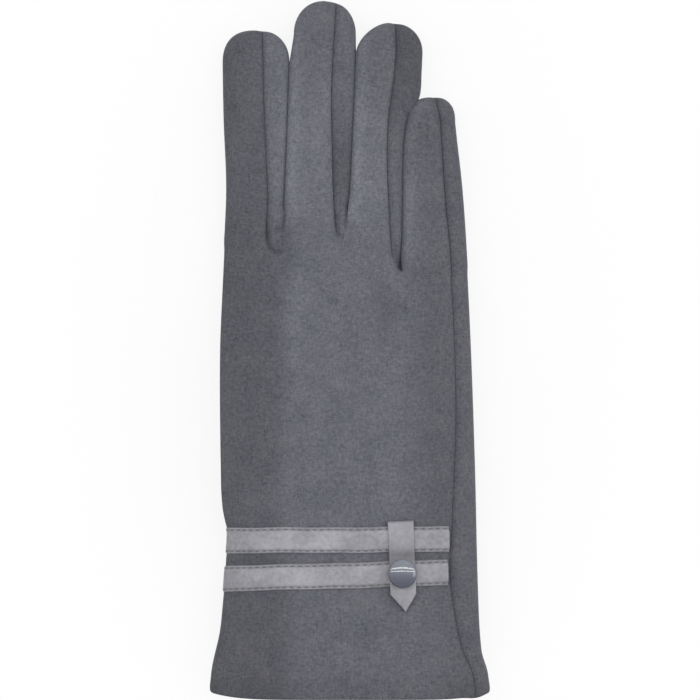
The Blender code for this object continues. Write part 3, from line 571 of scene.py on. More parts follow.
fibres, start, end = new_group("brushed_fibres", {"Vector": "Vector", "Fineness": "Float"},
                               ("Shade", "Height", "Mottle"))
sized = add_node(fibres, "ShaderNodeVectorMath",
                 {0: start.outputs["Vector"], "Scale": start.outputs["Fineness"]},
                 operation="SCALE").outputs[0]
fleck = noise(fibres, sized, FLECK_SCALE, 2.0, Roughness=0.5)
strands = [noise(fibres, laid(fibres, sized, stretch, turn), 1.0, 2.0) for turn, stretch in STRANDS]
mottle = noise(fibres, sized, MOTTLE_SCALE, 3.0, Roughness=0.6)
shade = weighted(fibres, (fleck, *strands, mottle), SHADE_WEIGHTS)
height = weighted(fibres, (fleck, *strands), HEIGHT_WEIGHTS)
hand_out(fibres, end, Shade=ranged(fibres, shade, *SHADE_RANGE), Height=height, Mottle=mottle)
print("fibre group:", len(fibres.nodes), "nodes")

# %% Cloth and fleece finishes
CLOTH_RELIEF = 0.25 * MM
TINT_RANGE = (0.38, 0.62)


def new_look(name, values):
    """Material with these plain values, its tree, its shader's inputs and its object coordinates."""
    made = bpy.data.materials.new(name)
    made.use_nodes = True
    shader = made.node_tree.nodes["Principled BSDF"]
    for socket, value in values.items():
        shader.inputs[socket].default_value = value
    return made, made.node_tree, shader.inputs, object_place(made.node_tree)


def blend_colour(tree, factor, first, second, way="MIX"):
    values = {0: factor, 6: first, 7: second}
    return add_node(tree, "ShaderNodeMix", values, data_type="RGBA", blend_type=way).outputs[2]


def times(tree, first, second):
    return blend_colour(tree, 1.0, first, second, "MULTIPLY")


# Factor per vertex holding painted light and shade, which a finish multiplies its colour by
def painted_shade_factor(tree):
    return add_node(tree, "ShaderNodeAttribute", attribute_name="painted_shade").outputs["Fac"]


def add_relief(tree, shader, height, strength, distance):
    values = {"Height": height, "Strength": strength, "Distance": distance}
    tree.links.new(add_node(tree, "ShaderNodeBump", values).outputs[0], shader["Normal"])


def fibre_look(name, fineness, dark, light, tint, relief, values):
    """Cloth of mixed fibres, its colour multiplied by the painted light and shade in an attribute."""
    made, tree, shader, where = new_look(name, values)
    used = add_node(tree, "ShaderNodeGroup", {"Vector": where, "Fineness": fineness}, node_tree=fibres)
    colour = blend_colour(tree, used.outputs["Shade"], dark, light)
    patch = ranged(tree, used.outputs["Mottle"], *TINT_RANGE)
    tinted = blend_colour(tree, patch, colour, times(tree, colour, tint))
    tree.links.new(times(tree, tinted, painted_shade_factor(tree)), shader["Base Color"])
    add_relief(tree, shader, used.outputs["Height"], relief, CLOTH_RELIEF)
    return made


cloth_look = fibre_look(
    "brushed_cloth", fineness=1.0, relief=0.6,
    dark=(0.058, 0.061, 0.072, 1), light=(0.211, 0.217, 0.249, 1), tint=(1.02, 0.997, 0.982, 1),
    values={"Roughness": 0.95, "Specular IOR Level": 0.2, "Sheen Weight": 0.28, "Sheen Roughness": 0.45,
            "Sheen Tint": (0.75, 0.78, 0.85, 1)},
)
fleece_look = fibre_look(
    "soft_fleece", fineness=0.45, relief=0.8,
    dark=(0.055, 0.056, 0.064, 1), light=(0.135, 0.138, 0.152, 1), tint=(0.97, 1.0, 1.02, 1),
    values={"Roughness": 1.0, "Specular IOR Level": 0.15, "Sheen Weight": 0.4, "Sheen Roughness": 0.6,
            "Sheen Tint": (0.8, 0.82, 0.88, 1)},
)
print("cloth finishes:", cloth_look.name, fleece_look.name)

# %% [markdown]
# ## Trim leather, thread, button and patch
#
# The bands and the tab are thin coated leather: a fine cell grain, soft creases where the wrist
# bends, with painted shade in them, and a satin sheen. The thread is matt and twisted. The button is
# a pearly grey cap under a clear coat, with painted light that makes it paler towards the fingers and darker
# away from them, and the touch patch is a knit with fine conductive dots.

# %% Leather group
GRAIN_SCALE = 1700.0
CREASE_TURN = 28
CREASE_STRETCH = (160, 620, 300)
CREASE_WIDTH = 0.07
CLOUD_SCALES = (130.0, 700.0)

grain, start, end = new_group("leather_grain", {"Vector": "Vector"}, ("Grain", "Creases", "Cloud"))
where = start.outputs["Vector"]
cells = add_node(grain, "ShaderNodeTexVoronoi", {"Vector": where, "Scale": GRAIN_SCALE},
                 feature="SMOOTH_F1").outputs["Distance"]
fold = noise(grain, laid(grain, where, CREASE_STRETCH, CREASE_TURN), 1.0, 3.0, Distortion=1.4)
ridge = maths(grain, "ABSOLUTE", maths(grain, "SUBTRACT", fold, 0.5))
clouds = [noise(grain, where, scale, 4.0) for scale in CLOUD_SCALES]
hand_out(grain, end, Grain=cells, Creases=ranged(grain, ridge, 0.0, CREASE_WIDTH),
         Cloud=weighted(grain, clouds, (0.5, 0.5)))
print("leather group:", len(grain.nodes), "nodes")

# %% Leather finishes
CLOUD_RANGE = (0.36, 0.64)
LEATHER_RELIEF = 0.12 * MM


def leather_look(name, dark, light, crease_shade):
    made, tree, shader, where = new_look(
        name, {"Roughness": 0.5, "Sheen Weight": 0.12, "Sheen Roughness": 0.3})
    used = add_node(tree, "ShaderNodeGroup", {"Vector": where}, node_tree=grain).outputs
    colour = blend_colour(tree, ranged(tree, used["Cloud"], *CLOUD_RANGE), dark, light)
    # Painted shade: the colour darkens in the creases
    crease_shaded = times(tree, colour, ranged(tree, used["Creases"], 0.0, 1.0, 1 - crease_shade))
    tree.links.new(times(tree, crease_shaded, painted_shade_factor(tree)), shader["Base Color"])
    tree.links.new(ranged(tree, used["Grain"], 0.0, 0.8, 0.42, 0.60), shader["Roughness"])
    relief = weighted(tree, (used["Grain"], used["Creases"]), (-0.25, 0.2))
    add_relief(tree, shader, relief, 0.5, LEATHER_RELIEF)
    return made


band_look = leather_look("trim_leather_bands", (0.245, 0.241, 0.266, 1), (0.368, 0.363, 0.398, 1), 0.07)
tab_look = leather_look("trim_leather_tab", (0.262, 0.258, 0.285, 1), (0.352, 0.347, 0.380, 1), 0.05)
print("leather finishes:", band_look.name, tab_look.name)

# %% Thread and button finishes
THREAD_RELIEF = 0.05 * MM
TWIST_SCALE = 900.0
PEARL_SCALE = 900.0
BUTTON_X = 18 * MM
BUTTON_Y = -76.5 * MM
BUTTON_RADIUS = 4.95 * MM


def thread_finish():
    made, tree, shader, where = new_look("twisted_thread", {"Roughness": 0.8, "Sheen Weight": 0.2})
    twist = add_node(tree, "ShaderNodeTexWave", {"Vector": where, "Scale": TWIST_SCALE, "Distortion": 1.5},
                     bands_direction="DIAGONAL").outputs["Fac"]
    colour = blend_colour(tree, twist, (0.105, 0.105, 0.116, 1), (0.170, 0.169, 0.184, 1))
    tree.links.new(colour, shader["Base Color"])
    add_relief(tree, shader, twist, 0.4, THREAD_RELIEF)
    return made


def button_finish():
    """Clouded enamel under a clear coat, with painted light: paler towards the fingers and darker away from
    them.
    """
    made, tree, shader, where = new_look(
        "pearly_enamel",
        {"Specular IOR Level": 0.2, "Coat Weight": 1.0, "Coat Roughness": 0.04, "Coat IOR": 1.75})
    pearl = noise(tree, where, PEARL_SCALE, 3.0)
    along = add_node(tree, "ShaderNodeSeparateXYZ", {"Vector": where}).outputs["Y"]
    # Painted light: the colour is paler towards the fingers, where the lamps stand
    painted_light = ranged(tree, along, BUTTON_Y - BUTTON_RADIUS, BUTTON_Y + BUTTON_RADIUS, way="SMOOTHSTEP")
    colour = blend_colour(tree, painted_light, (0.020, 0.024, 0.062, 1), (0.172, 0.190, 0.228, 1))
    clouded = times(tree, colour, ranged(tree, pearl, 0.0, 1.0, 0.82, 1.18))
    tree.links.new(clouded, shader["Base Color"])
    tree.links.new(ranged(tree, pearl, 0.0, 1.0, 0.22, 0.34), shader["Roughness"])
    return made


thread_look = thread_finish()
button_look = button_finish()
print("thread and button finishes:", thread_look.name, button_look.name)

# %% Steel and patch finishes
DRAWN_STRETCH = (600, 600, 5000)
DOT_SCALE = 900.0
DOT_EDGE = (0.2, 0.42)
PATCH_FINENESS = 1.3
PATCH_RELIEF = 0.1 * MM


def steel_finish():
    made, tree, shader, where = new_look("drawn_steel", {"Metallic": 1.0})
    lines = noise(tree, laid(tree, where, DRAWN_STRETCH), 1.0, 3.0)
    colour = blend_colour(tree, lines, (0.47, 0.47, 0.48, 1), (0.62, 0.62, 0.63, 1))
    tree.links.new(colour, shader["Base Color"])
    tree.links.new(ranged(tree, lines, 0.0, 1.0, 0.25, 0.45), shader["Roughness"])
    return made


def patch_finish():
    made, tree, shader, where = new_look("conductive_knit", {"Roughness": 0.7, "Sheen Weight": 0.2})
    values = {"Vector": where, "Scale": DOT_SCALE, "Randomness": 0.15}
    dots = add_node(tree, "ShaderNodeTexVoronoi", values).outputs["Distance"]
    silver = ranged(tree, dots, *DOT_EDGE, 1.0, 0.0)
    used = add_node(tree, "ShaderNodeGroup", {"Vector": where, "Fineness": PATCH_FINENESS}, node_tree=fibres)
    knit = blend_colour(tree, used.outputs["Shade"], (0.060, 0.060, 0.070, 1), (0.135, 0.135, 0.150, 1))
    tree.links.new(blend_colour(tree, silver, knit, (0.30, 0.30, 0.32, 1)), shader["Base Color"])
    tree.links.new(silver, shader["Metallic"])
    add_relief(tree, shader, silver, 0.5, PATCH_RELIEF)
    return made


steel_look = steel_finish()
patch_look = patch_finish()
print("steel and patch finishes:", steel_look.name, patch_look.name)

# %% [markdown]
# ## How a cloth piece is made
#
# Every cloth piece starts as a flat grid, which is extruded once so that it has an outer and an
# inner face. Each vertex then goes to its place on the glove. Where two pieces are sewn, their
# edges roll inwards to the same line, which leaves the narrow dark valley of a turned seam.

# %% Cloth pieces
SHARP = math.radians(50)
MERGE = 0.000002


def finish_piece(name, bm, look):
    """Object from a finished mesh, with its faces turned outwards."""
    bmesh.ops.remove_doubles(bm, verts=bm.verts, dist=MERGE)
    bmesh.ops.dissolve_degenerate(bm, edges=bm.edges, dist=MERGE)
    bmesh.ops.recalc_face_normals(bm, faces=bm.faces)
    if bm.calc_volume(signed=True) < 0:
        bmesh.ops.reverse_faces(bm, faces=bm.faces)
    for face in bm.faces:
        face.smooth = True
    for edge in bm.edges:
        edge.smooth = edge.calc_face_angle(math.pi) < SHARP
    mesh = bpy.data.meshes.new(name)
    bm.to_mesh(mesh)
    bm.free()
    mesh.materials.append(look)
    made = bpy.data.objects.new(name, mesh)
    bpy.context.scene.collection.objects.link(made)
    return made


def sewn_sheet(name, look, outer, inner, painted_shade=1.0, round_shut=False):
    """Sheet with an outer and an inner face, from arrays of places and of painted shade factors (row,
    column).
    """
    rows, columns = outer.shape[0] - 1, outer.shape[1] - 1
    shade = painted_shade + 0 * outer[..., 0]
    bm = bmesh.new()
    painted = bm.verts.layers.float.new("painted_shade")
    bmesh.ops.create_grid(bm, x_segments=columns, y_segments=rows, size=0.5)
    made = bmesh.ops.extrude_face_region(bm, geom=bm.faces[:])
    lifted = [item for item in made["geom"] if isinstance(item, bmesh.types.BMVert)]
    bmesh.ops.translate(bm, verts=lifted, vec=(0, 0, 1))
    if round_shut:
        bm.normal_update()
        ends = [face for face in bm.faces if abs(face.normal.x) > 0.5]
        bmesh.ops.delete(bm, geom=ends, context="FACES")
    for vert in bm.verts:
        column = round((vert.co.x + 0.5) * columns)
        row = round((vert.co.y + 0.5) * rows)
        face = inner if vert.co.z > 0.5 else outer
        vert.co = face[row, column]
        vert[painted] = shade[row, column]
    return finish_piece(name, bm, look)


print("edges sharper than", round(math.degrees(SHARP)), "degrees stay sharp")

# %% Turned seams
CLOTH = 0.8 * MM
EDGE_LIP = 0.12 * MM
SEAM_ROLL = 0.95 * MM
SEAM_ROLL_WIDTH = 2.6 * MM
SEAM_SHADE = 0.16
SEAM_SHADE_WIDTH = 1.2 * MM


def rounded_off(near):
    """Quarter circle: 0 at 0, and steeper and steeper to 1 at 1."""
    return 1 - np.sqrt(np.maximum(1 - near * near, 0.0))


def seam_roll(distance, depth=SEAM_ROLL):
    """How far a sewn edge turns in, at a distance from its seam."""
    return depth * rounded_off(np.clip(1 - distance / SEAM_ROLL_WIDTH, 0.0, 1.0))


def seam_shade(distance):
    """Painted shade beside a seam, darkest at its valley."""
    return 1 - SEAM_SHADE * hump(distance, SEAM_SHADE_WIDTH)


print("a seam rolls in by", round(SEAM_ROLL / MM, 2), "mm")

# %% [markdown]
# ## Back and palm of the hand
#
# Two panels make the hand. The back panel wraps round the forefinger edge, and the palm panel wraps
# round the other edge to the long seam that shows at the right. At the wrist the cloth is turned in
# to a soft rounded hem, so its inner face is thicker there. Light and shade are painted into the
# cloth: an attribute on the mesh, which the finish multiplies its colour by, holds painted shade where the
# cloth tilts away from the light, in the folds and beside the seams, and a few patches of painted light and
# shade.

# %% Surface and seams of the hand
LEFT_SEAM_INSET = 9 * MM
LEFT_SEAM_DRAWN = 6.2 * MM
DRAWN_END = KNUCKLE_Y - 3 * MM


def hand_point(angle, y, depth):
    """Places on the hand's sleeve, depth below its outer face."""
    across, up = outline(angle, HAND_SQUARENESS)
    centre, half = hand_lane(y)
    x = centre + (half - depth) * across
    bottom = palm_level(x, y)
    middle = (back_level(y) + bottom) / 2
    over = middle + (back_height(x, y) - depth - middle) * up
    under = middle + (middle - palm_height(x, y) - depth) * up
    return np.stack((x, y, np.maximum(np.where(up > 0, over, under), 0.0)), axis=-1)


def right_seam(y, spare=0.0):
    centre, half = hand_lane(y)
    return angle_across(float((follow(RIGHT_SEAM, y) - spare - centre) / half), HAND_SQUARENESS)


def right_seam_again(y):
    return right_seam(y) + FULL_TURN


def left_seam(y):
    """Seam under the forefinger edge, drawn out at the root to meet the forefinger's own."""
    half = hand_lane(y)[1]
    inset = LEFT_SEAM_INSET - LEFT_SEAM_DRAWN * ease(y, 0.0, DRAWN_END)
    return FULL_TURN - angle_across(float(-1 + inset / half), HAND_SQUARENESS)


seams = [round(math.degrees(seam(WRIST_Y))) for seam in (right_seam, left_seam)]
print("seams at the wrist:", seams, "degrees")

# %% Rows and columns of the hand
HEM_CORNER = 2.2 * MM
HEM_CORNER_POWER = 6
HEM_HALF = 48 * MM
HEM_LIP = 0.7 * MM
HEM_LIP_X = 44 * MM
HEM_LIP_WIDTH = 3 * MM
PALM_SIDE_ACROSS = 0.82
SEAM_CROWDING = 0.6
ROW_CROWDING = 0.45
SEAM_ROUNDS = 3


def row_place(angle, row, above_hem):
    """Y of a row between the hem and the finger roots; the palm side hangs lower beside its seam."""
    across, _ = outline(angle, HAND_SQUARENESS)
    _, root = root_place(hand_lane, across)
    palm_side = (angle > math.pi) | (across > PALM_SIDE_ACROSS)
    lip = np.where(palm_side, HEM_LIP * hump(across * HEM_HALF - HEM_LIP_X, HEM_LIP_WIDTH), 0.0)
    hem = HEM_Y + HEM_CORNER * np.abs(across) ** HEM_CORNER_POWER - lip + above_hem
    return hem + (root - hem) * row


def seam_angle(seam, row, above_hem):
    """Angle of a seam where it crosses a row."""
    y = HEM_Y + HAND_LENGTH * row
    for _ in range(SEAM_ROUNDS):
        angle = seam(y)
        y = float(row_place(np.array(angle), row, above_hem))
    return seam(y)


def hand_grid(start, end, columns, rows, above_hem=0.0):
    """Angle, Y and distance to both seams, for every row and column between two seams."""
    shares = crowded(columns, SEAM_CROWDING)
    angles, places, firsts, lasts = [], [], [], []
    for row in crowded(rows, ROW_CROWDING):
        low, high = (seam_angle(seam, row, above_hem) for seam in (start, end))
        angle, length = walk(low, high, shares, HAND_SQUARENESS, HAND_ASPECT)
        angles.append(angle)
        places.append(row_place(angle, row, above_hem))
        width = length * hand_lane(HEM_Y + HAND_LENGTH * row)[1]
        firsts.append(shares * width)
        lasts.append((1 - shares) * width)
    return np.array(angles), np.array(places), np.array(firsts), np.array(lasts)


print("hem at the little finger edge:", round(float(row_place(np.array(0.0), 0.0, 0.0)) / MM, 1), "mm")

# %% Painted shade of the hand
FOLD_SHADE = 0.12
LEFT_DARK = 0.25
RIGHT_DARK = 0.14
BESIDE_SEAM_DARK = 0.16
CUFF_DARK = 0.06
CUFF_PALER = 0.2
HEM_DARK = 0.12
LEFT_REACH = (17 * MM, 28 * MM)
RIGHT_REACH = (24 * MM, 38 * MM)
CUFF_REACH = (HEM_Y + 15 * MM, HEM_Y + 60 * MM)
HEM_REACH = (HEM_Y + 3 * MM, HEM_Y + 11 * MM)
BESIDE_SEAM_X = 28 * MM
BESIDE_SEAM_WIDTH = 6.5 * MM
# Middle (X, Y), half width and half length in millimetres, and change of shade
LIGHT_AND_SHADE_PATCHES = (
    (-20, 14, 5, 16, 0.17),
    (12, 14, 6, 9, -0.14),
    (29, 47, 5, 12, -0.15),
    (-7, 88, 4, 10, 0.14),
    (-22, 76, 2.2, 22, 0.22),
    (1, 82, 2.2, 20, 0.15),
    (-30, -53, 8, 8, 0.12),
)


def hand_painted_shade(x, y):
    """Painted shade: darker over the forefinger side and the little finger side, which tilt away from the
    light, beside the long seam, at the cuff and hem, and in the folds at the forks.
    """
    left = ease(-x + 1.5 * MM * np.sin(y / (21 * MM)), *LEFT_REACH)
    right = ease(x, *RIGHT_REACH)
    cuff = 1 - ease(y, *CUFF_REACH)
    hem = 1 - ease(y, *HEM_REACH)
    beside_seam = hump(x - BESIDE_SEAM_X, BESIDE_SEAM_WIDTH) * (1 - cuff)
    shade = 1.0 - LEFT_DARK * left * (1 - CUFF_PALER * cuff) - RIGHT_DARK * right
    shade = shade - BESIDE_SEAM_DARK * beside_seam - CUFF_DARK * cuff - HEM_DARK * hem
    return shade * (1 - FOLD_SHADE * np.minimum(fork_folds(x, y), 1.0))


def light_and_shade_patches(x, y):
    """What the painted shade is multiplied by: patches of painted light and painted shade in places."""
    change = 0.0
    for middle_x, middle_y, wide, long, rise in LIGHT_AND_SHADE_PATCHES:
        across, along = (x / MM - middle_x) / wide, (y / MM - middle_y) / long
        change = change + rise * np.exp(-across * across - along * along)
    return 1 + change


print("nap in the middle of the back:", round(float(hand_painted_shade(0.0, 0.0) * light_and_shade_patches(0.0, 0.0)), 2))

# %% Hand panels
HEM_TURN = 1.3 * MM
HEM_ROUND = 0.7 * MM
HEM_PLUMP = 0.25 * MM
HEM_PLUMP_PLACE = 2.2 * MM
HEM_FOLD = 12 * MM
HEM_STEP = 1 * MM
HAND_ROWS = 240
HAND_COLUMNS = 160


def hand_panel(name, start, end):
    angle, y, first, last = hand_grid(start, end, HAND_COLUMNS, HAND_ROWS)
    rows = crowded(HAND_ROWS, ROW_CROWDING)[:, None] * HAND_LENGTH
    near_hem = np.clip(1 - rows / HEM_TURN, 0.0, 1.0)
    plump = -HEM_PLUMP * hump(rows - HEM_PLUMP_PLACE, HEM_PLUMP_PLACE)
    outside = seam_roll(first) + seam_roll(last) + HEM_ROUND * rounded_off(near_hem) + plump
    folded = CLOTH * (1 - ease(rows, HEM_FOLD, HEM_FOLD + HEM_STEP))
    inside = np.maximum(outside + EDGE_LIP, CLOTH + folded * (1 - near_hem))
    outer, inner = hand_point(angle, y, outside), hand_point(angle, y, inside)
    x = outer[..., 0]
    painted_shade = hand_painted_shade(x, y) * light_and_shade_patches(x, y) * seam_shade(first) * seam_shade(last)
    return sewn_sheet(name, cloth_look, outer, inner, painted_shade)


back_cloth = hand_panel("back_cloth", right_seam, left_seam)
palm_cloth = hand_panel("palm_cloth", left_seam, right_seam_again)
for piece, node in ((back_cloth, "back_panel"), (palm_cloth, "palm_panel")):
    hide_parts(node)
    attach(piece, "hand")
print("hand panels:", len(back_cloth.data.polygons) + len(palm_cloth.data.polygons), "faces")

# %% [markdown]
# ## Fleece lining of the hand
#
# The lining is a sleeve inside both panels. It starts above the turned hem, where it is sewn over
# the raw edge of the cloth, so it lies a little deeper there, and it makes room for the rivet under
# the button. It shows at the wrist opening.

# %% Hand lining
LINING_DEPTH = 1.25 * MM
LINING = 0.6 * MM
LINING_START = 10 * MM
LINING_COLUMNS, LINING_ROWS = 120, 90
OVER_HEM = 0.5 * MM
OVER_HEM_END = HEM_FOLD + 8 * MM
FLUFF = 0.06 * MM
FLUFF_LENGTH = 0.9 * MM
FLUFF_WAVES = 60
RIVET_POCKET = 1.0 * MM
POCKET_EDGE = (3 * MM, 9 * MM)


def hand_lining():
    angle, y, _, _ = hand_grid(right_seam, right_seam_again, LINING_COLUMNS, LINING_ROWS, LINING_START)
    over_hem = OVER_HEM * (1 - ease(y - HEM_Y, HEM_FOLD + HEM_STEP, OVER_HEM_END))
    fluff = FLUFF * np.sin(y / FLUFF_LENGTH) * np.sin(angle * FLUFF_WAVES)
    x = hand_point(angle, y, 0.0 * y)[..., 0]
    away = np.hypot(x - BUTTON_X, y - BUTTON_Y)
    pocket = np.where(np.sin(angle) > 0, RIVET_POCKET * (1 - ease(away, *POCKET_EDGE)), 0.0)
    depth = LINING_DEPTH + over_hem + fluff + pocket
    outer, inner = hand_point(angle, y, depth), hand_point(angle, y, depth + LINING)
    return sewn_sheet("hand_fleece", fleece_look, outer, inner, round_shut=True)


hand_fleece = hand_lining()
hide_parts("hand_lining")
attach(hand_fleece, "hand")
print("lining faces:", len(hand_fleece.data.polygons))

# %% [markdown]
# ## Fingers
#
# Each finger is sewn from a back, a palm side and narrow strips between them. At its root its
# section is the hand's own surface, cut square between its neighbours, and within a few millimetres
# it rounds into a finger. So the cloth runs on from the hand without a step, and the forks form by
# themselves.

# %% Finger shapes
FINGERTIP_TOP = 11.6 * MM
FINGERTIP_BOTTOM = 0.9 * MM
ROOT_SQUARENESS = 60.0
ROUNDING = 8 * MM
MERGING = 13 * MM
LANE_GAP = 0.04 * MM
GAP_OPENING = 6 * MM
SLIM_START, SLIM_END = 26 * MM, 6 * MM
TIP_ROUND = 2.25

# Lines of the lane, seam on the back, tip and cap in millimetres, how far the top falls to the left,
# where the gaps start (Y), squareness of the sides and of the tip, and how far the lane draws in at
# the tip; the last four are for the right and left side
FINGERS = {
    "index": dict(left=LEFT_EDGE, right=INDEX_MIDDLE, seam=INDEX_SEAM, tip=109.8, cap=11.5, fall=1.8,
                  forks=(41, 33.5), sides=(3.6, 2.6), tips=(2.3, 2.5), slim=(0, 0)),
    "middle": dict(left=INDEX_MIDDLE, right=MIDDLE_RING, seam=MIDDLE_SEAM, tip=120.0, cap=11.5, fall=0.0,
                   forks=(42.5, 41), sides=(3.6, 4.8), tips=(2.1, 2.1), slim=(0.7, 1.9)),
    "ring": dict(left=MIDDLE_RING, right=RING_LITTLE, seam=RING_SEAM, tip=112.4, cap=10.5, fall=0.0,
                 forks=(28, 42.5), sides=(3.6, 4.8), tips=(2.2, 1.7), slim=(0, 0)),
    "little": dict(left=RING_LITTLE, right=RIGHT_EDGE, seam=RIGHT_SEAM, tip=86.9, cap=8.5, fall=0.0,
                   forks=(25, 28), sides=(2.5, 4.8), tips=(2.5, 2.3), slim=(0, 0)),
}
print("fingertips at Y:", {name: shape["tip"] for name, shape in FINGERS.items()}, "mm")

# %% Surface of a finger
class Finger:
    """One finger: its lane between two lines, its heights and its seams."""

    def __init__(self, name):
        self.name = name
        shape = FINGERS[name]
        self.left, self.right, self.seam = shape["left"], shape["right"], shape["seam"]
        self.sides, self.tips, self.slim = shape["sides"], shape["tips"], shape["slim"]
        self.forks = tuple(fork * MM for fork in shape["forks"])
        self.tip, self.cap, self.fall = shape["tip"] * MM, shape["cap"] * MM, shape["fall"] * MM
        self.shoulder = self.tip - self.cap
        centre, _ = self.lane(np.array(KNUCKLE_Y))
        self.root = float(root_y(centre))
        centre, half = self.lane(np.array(self.root))
        self.root_centre, self.root_half = float(centre), float(half)
        rounded = hand_crown(centre, self.root)
        middle = (back_level(self.root) + palm_level(centre, self.root)) / 2
        self.root_top = float(middle + (back_level(self.root) - middle) * rounded)
        self.root_bottom = float(middle - (middle - palm_level(centre, self.root)) * rounded)

    def lane(self, y):
        """Middle and half width; the gap to a neighbour opens from the fork on."""
        left, right = follow(self.left, y), follow(self.right, y)
        if self.name != "index":
            left = left + LANE_GAP / 2 * ease(y, self.forks[1], self.forks[1] + GAP_OPENING)
        if self.name != "little":
            right = right - LANE_GAP / 2 * ease(y, self.forks[0], self.forks[0] + GAP_OPENING)
        drawn = ease(y, self.tip - SLIM_START, self.tip - SLIM_END)
        left, right = left + self.slim[1] * MM * drawn, right - self.slim[0] * MM * drawn
        return (left + right) / 2, (right - left) / 2

    def squareness(self, y):
        """Square between the neighbours up to the fork at each side, and rounder further on."""
        square = []
        for side, fork in zip(self.sides, self.forks):
            loose = 1 - ease(y, fork, fork + ROUNDING)
            square.append(side * (ROOT_SQUARENESS / side) ** loose)
        return tuple(square)

    def cap_shape(self, run):
        """How far into the tip a run reaches, how wide both sides are there, and how thick it is."""
        reach = np.sin(np.clip(run - 1, 0.0, 1.0) * math.pi / 2) ** (2 / TIP_ROUND)
        shapes = [np.maximum(1 - reach ** tip, 0.0) ** (1 / tip) for tip in (*self.tips, TIP_ROUND)]
        return reach, *shapes

    def heights(self, x, y):
        """Top and bottom: the hand's own surface at the root, and the finger's further on."""
        rounded = hand_crown(x, y)
        bottom = palm_level(x, y)
        middle = (back_level(y) + bottom) / 2
        hand_over = middle + (back_height(x, y) - middle) * rounded
        hand_under = middle - (middle - palm_height(x, y)) * rounded
        along = ease(y, self.root, self.shoulder)
        centre, half = self.lane(y)
        lean = self.fall * np.clip((centre - x) / half, -0.3, 1.0)
        over = self.root_top + (FINGERTIP_TOP - self.root_top) * along - lean
        under = self.root_bottom + (FINGERTIP_BOTTOM - self.root_bottom) * along
        away = ease(y, root_y(x), root_y(x) + MERGING)
        return hand_over + (over - hand_over) * away, hand_under + (under - hand_under) * away

    def point(self, angle, run, squareness, depth):
        """run is 0 at the root, 1 where the tip starts and 2 at the tip."""
        across, up = outline(angle, squareness)
        _, start = root_place(self.lane, across)
        y = start + (self.shoulder - start) * np.minimum(run, 1.0)
        centre, half = self.lane(y)
        reach, right, left, thick = self.cap_shape(run)
        top, bottom = self.heights(centre + half * across, y)
        x = centre + (half - depth) * across * np.where(across > 0, right, left)
        z = (top + bottom) / 2 + ((top - bottom) / 2 - depth) * up * thick
        return np.stack((x, y + (self.cap - depth) * reach, z), axis=-1)


fingers = {name: Finger(name) for name in FINGERS}
print("finger lengths:", {f.name: round((f.tip - f.root) / MM, 1) for f in fingers.values()})

# %% Seams round a finger
SIDE_DOWN = 0.38
LEFT_SIDE_DOWN = 0.2
PALM_SEAM_ACROSS = -0.49
INDEX_SIDE_ACROSS = -0.715
SEAM_LIMIT = 0.93
LEAST_NARROW = 0.02
WIDE, NARROW = 44, 22


# Every seam takes the same four values, so that a grid can start or end at any of them
def back_seam(finger, y, squareness, narrow):
    """Seam on the back of the finger, followed to the right of the tip."""
    centre, half = finger.lane(y)
    across = (follow(finger.seam, y) - centre) / (half * max(narrow, LEAST_NARROW))
    return angle_across(float(np.clip(across, -SEAM_LIMIT, SEAM_LIMIT)), squareness)


def right_side(finger, y, squareness, narrow):
    return FULL_TURN - angle_down(SIDE_DOWN, squareness[0])


def left_side(finger, y, squareness, narrow):
    return math.pi + angle_down(LEFT_SIDE_DOWN, squareness[1])


def palm_seam(finger, y, squareness, narrow):
    return FULL_TURN - angle_across(PALM_SEAM_ACROSS, squareness)


def index_side(finger, y, squareness, narrow):
    return FULL_TURN - angle_across(INDEX_SIDE_ACROSS, squareness)


def back_seam_again(finger, y, squareness, narrow):
    return back_seam(finger, y, squareness, narrow) + FULL_TURN


# Ending of the CAD node's name, start seam, end seam and columns, in order round each finger
INNER_STRIPS = (
    ("back", back_seam, left_side, WIDE),
    ("fourchette_left", left_side, palm_seam, NARROW),
    ("palm", palm_seam, right_side, WIDE),
    ("fourchette_right", right_side, back_seam_again, NARROW),
)
STRIPS = {
    "index": (("back", back_seam, index_side, WIDE), ("palm", index_side, right_side, WIDE),
              ("fourchette", right_side, back_seam_again, NARROW)),
    "middle": INNER_STRIPS,
    "ring": INNER_STRIPS,
    "little": (("back", back_seam, left_side, WIDE), ("fourchette", left_side, palm_seam, NARROW),
               ("palm", palm_seam, back_seam_again, WIDE)),
}
print("strips:", {name: len(strips) for name, strips in STRIPS.items()})

# %% Grid of a finger, and where its bend starts
FINGER_ASPECT = 0.55
ROOT_SAMPLES = 9


def finger_runs(straight, cap):
    """Rows along a finger, closer together at the root."""
    t = np.linspace(0.0, 1.0, straight + 1)
    return np.concatenate((0.5 * t + 0.5 * t * t, 1 + np.linspace(0.0, 1.0, cap + 1)[1:]))


def finger_grid(finger, start, end, columns, runs):
    """Angle, run, squareness and distances to both seams, for every row and column."""
    shares = crowded(columns, SEAM_CROWDING)
    angles, firsts, lasts, rights, lefts = [], [], [], [], []
    for run in runs:
        reach, narrow, _, _ = finger.cap_shape(run)
        y = np.array(finger.root + (finger.shoulder - finger.root) * min(run, 1.0) + finger.cap * reach)
        square = finger.squareness(y)
        low, high = start(finger, y, square, narrow), end(finger, y, square, narrow)
        angle, length = walk(low, high, shares, square, FINGER_ASPECT)
        width = length * float(finger.lane(y)[1]) * max(narrow, LEAST_NARROW)
        angles.append(angle)
        firsts.append(shares * width)
        lasts.append((1 - shares) * width)
        rights.append(square[0] + 0 * shares)
        lefts.append(square[1] + 0 * shares)
    run = np.repeat(runs[:, None], columns + 1, axis=1)
    squares = (np.array(rights), np.array(lefts))
    return np.array(angles), run, squares, np.array(firsts), np.array(lasts)


